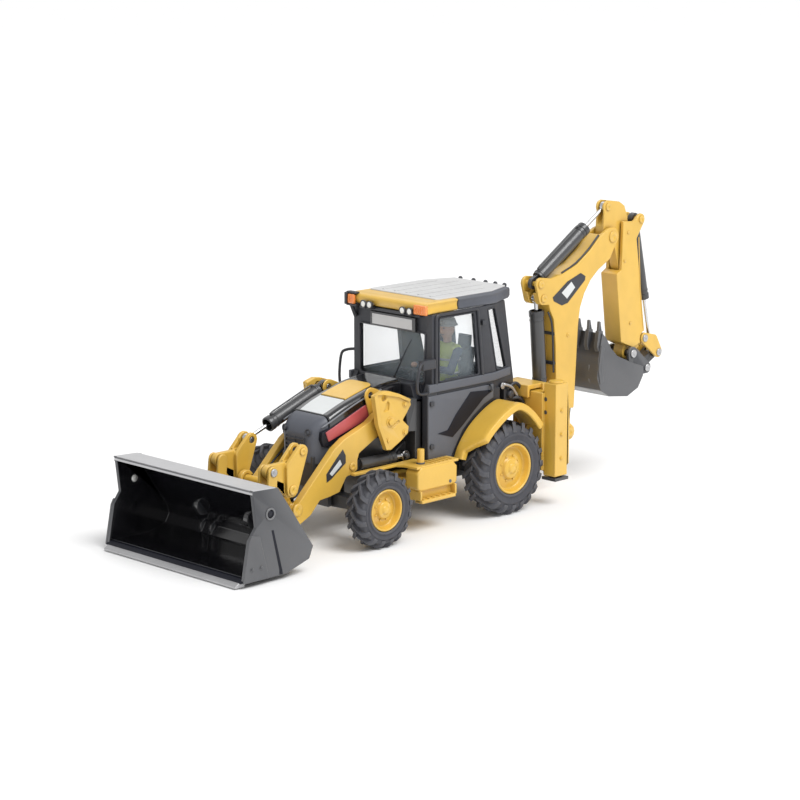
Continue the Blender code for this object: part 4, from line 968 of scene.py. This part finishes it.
# ---- loader
def loader():
    plates = ("tower_left", "tower_right", "loader_arms", "bell_cranks", "tilt_link_left", "tilt_link_right")
    for name in plates:
        refined(name, YELLOW, 0.22)
    # The rear faces of each tower take black paint: painted shade for the dark gap between tower and cab.
    for hand in ("left", "right"):
        shell = bpy.data.objects["tower_" + hand + "_shell"]
        shell.data.materials.append(BLACK_PAINT)
        for face in shell.data.polygons:
            spot = TO_AXLE @ face.center
            if spot.y > 17.3 or (abs(spot.x) < 10.6 and spot.y > 16):
                face.material_index = 1
    tower_heads, arm_pins, crank_pins = [], [], []
    for side in SIDES:
        heads = (
            (ARM_PIVOT, 1.25, 0.6), ((15.6, 30.4), 0.8, 0.45), ((15.6, 23.6), 0.8, 0.45),
            ((9.9, 22.4), 0.6, 0.4),
        )
        for point, radius, height in heads:
            tower_heads += head(11.9 * side, point, side, radius, height)
        arm_pins.append(boss(9.7 * side, LIFT_BARREL_PIN, side, 1))
        arm_pins.append(boss(9.7 * side, BUCKET_PIVOT, side, 1.15))
        arm_pins.append(boss(9.7 * side, (-17, 10), side, 1.5, 0.3))
        crank_pins.append(boss(10.45 * side, CRANK_PIVOT, side, 1.2))
        crank_pins.append(boss(10.45 * side, CRANK_ROD_PIN, side, 0.9))
    piece("tower_bolts", tower_heads, YELLOW)
    flange = [(5.2, 33.8), (6.3, 33.9), (7.3, 26.9), (10.1, 20.4), (9.2, 20.2), (6.4, 26.7)]
    brow = [
        (5.4, 33.9), (8, 34.6), (10.2, 34.3), (13.4, 33.2), (17.2, 31.4), (16.9, 30.7), (13.2, 32.4),
        (8, 33.7),
    ]
    ridges = mirrored(flange, 11.8, 12.35, 0.12) + mirrored(brow, 11.8, 12.35, 0.12)
    piece("tower_flanges", ridges, YELLOW)
    piece("arm_pin_ends", arm_pins, YELLOW, "loader_arms")
    piece("crank_pin_ends", crank_pins, YELLOW, "bell_cranks")
    for hand, side in HANDS:
        heads = [boss(10.6 * side, pin, side, 0.95) for pin in (CRANK_LINK_PIN, BUCKET_LINK_PIN)]
        piece("link_pin_ends_" + hand, heads, SILVER, "tilt_link_" + hand)
    label = [
        (-2.6, 22), (-1.7, 20.4), (-1.7, 18.6), (-6.2, 15.6), (-7.8, 14.9), (-7.9, 16.9), (-4.6, 20.2),
    ]
    bar = [(-3.6, 19.7), (-3, 18.5), (-6.2, 16.2), (-6.9, 16.9)]
    piece("arm_labels", mirrored(label, 9.6, 9.78, 0.06), BLACK, "loader_arms")
    piece("arm_label_bars", mirrored(bar, 9.6, 9.86, 0.05), WHITE, "loader_arms")
    lines = []
    for side in SIDES:
        path = [(-15.8, 10.8), (-9, 17.4), (0, 23.6), (6, 26)]
        lines.append(hose([(7.42 * side, y, z) for y, z in path], 0.24))
        for y, z in ((-10, 15.8), (-2, 21.6)):
            lines.append(box(*span(side, 7.1, 7.7), y, y + 0.9, z, z + 0.9, 0.12))
    piece("arm_hard_lines", lines, BLACK, "loader_arms")


def shaded_inside_bucket(centre, normal):
    """True for the faces that earth would touch in the front bucket; these take a darker, glossier black, the
    darkness being painted shade.
    """
    y, z = centre.y, centre.z
    if abs(centre.x) > extent("bucket_shell")[1].x - 0.9 or z > 20.6:
        return False
    middle = Vector((0, -38.5, 12))
    toward = middle - Vector((0, y, z))
    if abs(normal.x) > 0.7:
        return normal.x * centre.x < 0 and abs(centre.x) > 20
    return normal.dot(toward) > 0 and y < -25.5


def front_bucket():
    item = refined("bucket_shell", BUCKET, 0.16)
    # Inner faces get the gloss black: the darker colour is painted shade, the gloss a glossier finish.
    item.data.materials.append(GLOSS_BLACK)
    for face in item.data.polygons:
        centre = TO_AXLE @ face.center
        if shaded_inside_bucket(centre, face.normal):
            face.material_index = 1
    half = extent("bucket_shell")[1].x
    # Light grey top lip: a painted reflection of the light along the bucket's top edge.
    lip = [(-43.35, 20.6), (-43.25, 21.62), (-36.6, 21.30), (-36.3, 21.05), (-36.9, 20.9)]
    piece("bucket_top_lip", [plate(lip, 0.1 - half, half - 0.1, 0.1)], LIP_REFLECTION_PAINT, "loader_bucket")
    refined("cutting_edge", SILVER, 0.1)
    cheek_shade_marks, cutters, gussets, hole_light_discs = [], [], [], []
    for side in SIDES:
        hole, way = ((half - 0.02) * side, *CHEEK_HOLE), (side, 0, 0)
        # Dark strip along the cheek groove and dark disc over the cheek hole: painted shade.
        line = [(-37.9, 11.8), (-37.3, 11.8), (-34.9, 2.4), (-34.7, 1.3), (-35.7, 1.3), (-35.7, 2.4)]
        cheek_shade_marks.append(plate(line, *span(side, half - 0.2, half + 0.06), 0.03))
        cheek_shade_marks.append(stud(hole, way, 0.95, 0.95, 0.1, 28))
        # Pale disc inside each cheek hole: painted light standing for the bright background seen through the hole.
        hole_light_discs.append(stud(((half - 0.95) * side, *CHEEK_HOLE), (-side, 0, 0), 0.85, 0.8, 0.16))
        cutter = [(-46.3, 1.2), (-44.5, 10.3), (-43.7, 11.6), (-41.5, 11.2), (-39.2, 2.6), (-39.2, 1.2)]
        cutters.append(plate(cutter, *span(side, half - 0.3, half + 0.22), 0.12))
        ring = [(0, 0.95), (0.26, 1), (0.26, 1.35), (0, 1.45)]
        cutters.append(lathe(ring, hole, way, 28))
        for y, z in ((-43.9, 4), (-41.2, 4)):
            cutters += head((half + 0.2) * side, (y, z), side, 0.45, 0.3)
        for x in (8, 16.5):
            rib = [(-36.2, 20.6), (-31.4, 13.2), (-27.2, 7.6), (-26.2, 8.2), (-30.6, 14), (-35.2, 20.8)]
            gussets.append(plate(rib, x * side - 0.35, x * side + 0.35, 0.12))
    piece("bucket_cheek_shade_marks", cheek_shade_marks, DEEP_BLACK, "loader_bucket")
    # Dark plate along the inner side of the cutting edge's top: painted shade.
    step = [(-46.55, 1.15), (-46.6, 1.32), (-45.65, 2.03), (-44.8, 2.03), (-44.8, 1.9), (-45.6, 1.8)]
    lip_shade_plate = [plate(step, 0.4 - half, half - 0.4, 0.04)]
    piece("bucket_lip_shade", lip_shade_plate, DEEP_BLACK, "loader_bucket")
    piece("bucket_cheek_hole_light", hole_light_discs, LAMP, "loader_bucket")
    piece("bucket_side_cutters", cutters, BUCKET, "loader_bucket")
    pads = [box(x - 1.6, x + 1.6, -46.9, -44.4, 0.15, 0.75, 0.1) for x in (-18, -9, 0, 9, 18)]
    ribs = [rod((-half + 1, y, z), (half - 1, y, z), 0.32) for y, z in ((-31.2, 13.5), (-28, 8.6))]
    piece("bucket_back_ribs", gussets + ribs + pads, BUCKET, "loader_bucket")


# ---- hydraulic cylinders
def ram_dress(barrel, x, base, eye, length, radius, lines=True):
    """Gland ring, end ring, ports and a hard line on a cylinder barrel."""
    way = Vector((0, eye[0] - base[0], eye[1] - base[1])).normalized()
    origin = Vector((x, *base))
    up = way.cross(Vector((1, 0, 0)))
    if up.z < 0:
        up = -up

    def ring(start, depth, extra):
        bore, outside, end = radius * 0.92, radius + extra, start + depth
        return lathe([(start, bore), (start, outside), (end, outside), (end, bore)], origin, way, 32, 0.06)

    blocks = [ring(length - 1.5, 1.35, 0.14), ring(length - 2.6, 0.3, 0.08), ring(2.9, 0.5, 0.10)]
    if lines:
        near, far = origin + way * 3.6 + up * radius, origin + way * (length - 2) + up * radius
        blocks += [rod(port - up * 0.3, port + up * 0.45, 0.42, 6) for port in (near, far)]
        route = [
            near + up * 0.35, near + up * 0.55 + way * 0.5, far + up * 0.55 - way * 0.5, far + up * 0.35,
        ]
        blocks.append(wire(route, 0.35, 0.2, False, 8))
    piece(barrel + "_rings", blocks, BLACK_PAINT, barrel)


def cylinders():
    rams = (
        ("lift", "_left"), ("lift", "_right"), ("tilt", ""), ("boom", ""), ("stick", ""), ("scoop", ""),
    )
    for ram, hand in rams:
        refined(ram + "_barrel" + hand, BLACK_PAINT, 0.12, 50)
    for name in [ram + "_rod" + hand for ram, hand in rams] + ["tilt_base_pin", "tilt_rod_pin"]:
        refined(name, STEEL, 0.08, 50)
    ram_dress("tilt_barrel", -LOADER_X, TILT_BASE, CRANK_ROD_PIN, 19.6, 1.7)
    for hand, side in HANDS:
        ram_dress("lift_barrel_" + hand, LOADER_X * side, LIFT_BARREL_PIN, LIFT_ROD_PIN, 14.6, 1.3, False)
    ram_dress("boom_barrel", HOE_X, BOOM_BARREL_PIN, BOOM_ROD_PIN, 20.6, 1.8)
    ram_dress("stick_barrel", HOE_X, STICK_BARREL_PIN, STICK_ROD_PIN, 22.6, 1.65)
    ram_dress("scoop_barrel", HOE_X, SCOOP_BARREL_PIN, LEVER_PIN, 22, 1.3, False)


# ---- running gear and frame
def frame_and_axles():
    refined("chassis_frame", BLACK_PAINT, 0.18)
    blacks = ("front_axle", "knuckle_left", "knuckle_right", "stabiliser_leg_left", "stabiliser_leg_right")
    for name in blacks:
        refined(name, BLACK_PAINT, 0.15)
    refined("side_shift_frame", YELLOW, 0.25)
    marks, bolts = [], []
    for side in SIDES:
        for z in (26.6, 23.3):
            marks.append(stud((19.6 * side, 56.82, z), (0, -1, 0), 0.55, 0.5, 0.12, 20))
        for z in (12, 18, 24):
            bolts += head(23 * side, (59, z), side, 0.55, 0.35)
        bolts.append(stud((21 * side, 59.05, 30.7), (0, 0, 1), 1.9, 1.8, 0.5, 24, 0.12))
    piece("post_marks", marks, BLACK)
    piece("post_bolts", bolts, YELLOW)
    routes = (
        [(12.3, 50.6, 29), (12.6, 53.2, 30.2), (12.6, 55.3, 28.6), (12.2, 55.9, 25)],
        [(12, 51.4, 26.2), (13.2, 53.2, 26.6), (13.4, 55, 25.8), (13.2, 56, 23.8)],
    )
    valve = [
        box(9.6, 12.4, 49.6, 53.2, 24.4, 29.2, 0.3), box(8.8, 12.8, 55.1, 55.9, 23, 27.6, 0.2),
        lathe([(0, 0), (0, 1), (0.9, 1), (1.1, 0.8), (1.1, 0)], (12.2, 51.4, 27.6), (1, 0, 0), 24, 0.08),
    ]
    valve += [hose(route, 0.42) for route in routes]
    piece("valve_block", valve, BLACK)
    strap = hose([(13, 48.6, 30.6), (13, 51.6, 29.4), (12.8, 54, 26.6)], 0.4)
    lens = lathe([(0, 0), (0, 0.85), (0.25, 0.75), (0.3, 0)], (12.9, 48.4, 30.2), (1, 0.2, 0), 24, 0.05)
    piece("rear_strap", [strap, lens], SILVER)


# ---- backhoe
def both_sides(x, point, reach, radius, height=0.35):
    return [boss(x + reach * side, point, side, radius, height) for side in SIDES]


def hoe():
    for name in ("carriage", "kingpost", "boom", "main_stick", "extending_stick", "bucket_lever"):
        refined(name, YELLOW, 0.22)
    refined("bucket_link", BLACK_PAINT, 0.15)
    refined("hoe_bucket", BUCKET, 0.14)
    x = HOE_X
    boom_pins = both_sides(x, STICK_PIVOT, 2.7, 1.45) + both_sides(x, BOOM_ROD_PIN, 2.7, 1)
    boom_pins += both_sides(x, STICK_BARREL_PIN, 2.7, 1) + both_sides(x, (71.5, 40), 2.7, 0.5, 0.2)
    piece("boom_pin_ends", boom_pins, YELLOW, "boom")
    label = [
        (76, 55.2), (77.8, 54.2), (77.6, 53.2), (71.2, 48.2), (69, 47.8), (66, 49.2), (65.6, 50.2),
        (71, 53.6),
    ]
    patch = [(72.4, 53.4), (73.8, 51.8), (70.8, 49.3), (68.8, 51)]
    panels = [plate(label, x + near, x + far, 0.06) for near, far in ((2.6, 2.8), (-2.8, -2.6))]
    patches = [plate(patch, x + near, x + far, 0.05) for near, far in ((2.6, 2.88), (-2.88, -2.6))]
    piece("boom_labels", panels, BLACK, "boom")
    piece("boom_label_patches", patches, WHITE, "boom")
    lines = []
    routes = (
        (2.1, [(66.9, 31), (66.6, 38), (66, 43.6), (64.6, 46.6)]),
        (2.2, [(69.4, 55.9), (74.6, 57.8), (79.4, 60.8), (83.2, 64)]),
    )
    for offset, route in routes:
        for place in (x - offset, x + offset):
            lines.append(hose([(place, y, z) for y, z in route], 0.24, 5, 8))
    lines += [box(x - 2.5, x + 2.5, 66.4, 67.3, z, z + 0.8, 0.12) for z in (33, 40.5)]
    piece("boom_hard_lines", lines, BLACK, "boom")
    ends = both_sides(x, BOOM_PIVOT, 2.9, 1.3) + both_sides(x, BOOM_BARREL_PIN, 2.3, 0.95)
    ends.append(stud((x, SWING_Y, 23.9), (0, 0, 1), 1.3, 1.2, 0.5, 24, 0.1))
    piece("kingpost_pin_ends", ends, YELLOW, "kingpost")
    piece("stick_pin_ends", both_sides(x, STICK_ROD_PIN, 1.4, 0.95), YELLOW, "main_stick")
    nose_pins = both_sides(x, SCOOP_BARREL_PIN, 2.7, 0.95)
    seam = []
    for side in SIDES:
        run = [(x + 2.72 * side, y, z) for y, z in ((98.4, 62), (99.3, 49), (100.9, 38))]
        seam.append(tube(run, 0.14, sides=8))
        for y, z in ((94.2, 63.6), (93, 56.4), (95.6, 40)):
            seam.append(stud((x + 2.7 * side, y, z), (side, 0, 0), 0.42, 0.36, 0.2, 16))
    piece("stick_slide_details", nose_pins + seam, YELLOW, "extending_stick")
    lever_pins = both_sides(x, LEVER_PIVOT, 2.75, 0.95) + both_sides(x, LEVER_PIN, 2.75, 0.95)
    piece("lever_pin_ends", lever_pins, SILVER, "bucket_lever")
    scoop = both_sides(x, SCOOP_PIVOT, 3.8, 1.1) + both_sides(x, SCOOP_LINK_PIN, 3.8, 0.95)
    piece("scoop_pin_ends", scoop, SILVER, "hoe_bucket")
    wear, adapters = [], []
    for side in SIDES:
        strip = [(80.4, 36.6), (79.4, 30.4), (80.2, 26.6), (81.6, 27.2), (80.8, 30.6), (81.6, 35.8)]
        reach = [x + offset for offset in span(side, 5.9, 6.22)]
        wear.append(plate(strip, *reach, 0.08))
    for place in (-5.03, -1.68, 1.68, 5.03):
        shank = [(82.2, 36.4), (81.5, 40.2), (80, 40.2), (79.4, 36.4), (80, 34.8), (81.8, 34.8)]
        adapters.append(plate(shank, x + place - 0.6, x + place + 0.6, 0.15))
    piece("hoe_bucket_adapters", adapters + wear, BUCKET, "hoe_bucket")
    back = ((79.6, 31.4), (79.6, 27.6), (81.2, 24.9), (84.4, 23.1), (91, 22.1))
    edges = [tube([(x + place, y, z) for y, z in back], 0.3) for place in (-3, 3)]
    piece("hoe_bucket_wear_bars", edges, BUCKET, "hoe_bucket")


# ---- the whole machine
for end_name, lug_count, lug_width in (("front", 17, 1.25), ("rear", 20, 1.45)):
    for hand_name in ("left", "right"):
        wheel(end_name, hand_name, lug_count, lug_width)
hood()
cab()
mirrors_and_rails()
roof()
interior()
operator()
fenders()
steps()
loader()
front_bucket()
cylinders()
frame_and_axles()
hoe()


# ---- floor, lights and camera
# Metres here: lights and camera stand in the room. The camera was fitted to the photograph.
FLOOR_HALF = 30.0
CAMERA_PLACE = (0.4194, -0.42238, 0.1520)
CAMERA_TURN = (math.radians(78.172), 0, math.radians(45.135))
CAMERA_LENS = 112.2
SKY_WAY = (-0.55, -0.05, -0.8)
LAMPS = (
    ("key", (0.55, 0.15, 0.75), 1.3), ("fill", (0.25, -0.75, 0.40), 0.5), ("back", (-0.55, 0.35, 0.65), 0.6),
)


def stage():
    mesh = bpy.data.meshes.new("floor")
    corners = [(x * FLOOR_HALF, y * FLOOR_HALF, 0) for x, y in ((-1, -1), (1, -1), (1, 1), (-1, 1))]
    mesh.from_pydata(corners, [], [(0, 1, 2, 3)])
    floor = bpy.data.objects.new("floor", mesh)
    bpy.context.collection.objects.link(floor)
    made = bpy.data.materials.new("floor_paper")
    made.use_nodes = True
    tree = made.node_tree
    shader = tree.nodes["Principled BSDF"]
    place = tree.nodes.new("ShaderNodeTexCoord").outputs["Object"]
    tone = noise_node(tree, place, 40.0)
    paper = mixed(tree, tone, (0.93, 0.93, 0.93, 1), (0.97, 0.97, 0.97, 1))
    tree.links.new(paper, shader.inputs["Base Color"])
    shader.inputs["Roughness"].default_value = 0.9
    mesh.materials.append(made)
    floor.location.z = -0.0001


def softbox(name, location, power, size=0.5, target=(0, 0, 0.03)):
    light = bpy.data.lights.new(name, "AREA")
    light.shape = "SQUARE"
    light.size = size
    light.energy = power
    item = bpy.data.objects.new(name, light)
    item.location = location
    item.rotation_mode = "QUATERNION"
    item.rotation_quaternion = (Vector(target) - Vector(location)).to_track_quat("-Z", "Y")
    bpy.context.collection.objects.link(item)


def lights_and_camera():
    sun = bpy.data.lights.new("sky_light", "SUN")
    sun.energy = 1.75
    sun.angle = math.radians(35)
    sky = bpy.data.objects.new("sky_light", sun)
    sky.rotation_mode = "QUATERNION"
    sky.rotation_quaternion = Vector(SKY_WAY).to_track_quat("-Z", "Y")
    bpy.context.collection.objects.link(sky)
    for name, place, power in LAMPS:
        softbox(name, place, power)
    world = bpy.data.worlds.new("studio")
    world.use_nodes = True
    background = world.node_tree.nodes["Background"]
    background.inputs["Color"].default_value = (1.0, 1.0, 1.0, 1.0)
    background.inputs["Strength"].default_value = 0.62
    bpy.context.scene.world = world
    bpy.context.scene.view_settings.view_transform = "Standard"
    camera = bpy.data.cameras.new("camera")
    camera.sensor_width = 36.0
    camera.lens = CAMERA_LENS
    item = bpy.data.objects.new("camera", camera)
    item.location = CAMERA_PLACE
    item.rotation_euler = CAMERA_TURN
    bpy.context.collection.objects.link(item)
    bpy.context.scene.camera = item


stage()
lights_and_camera()
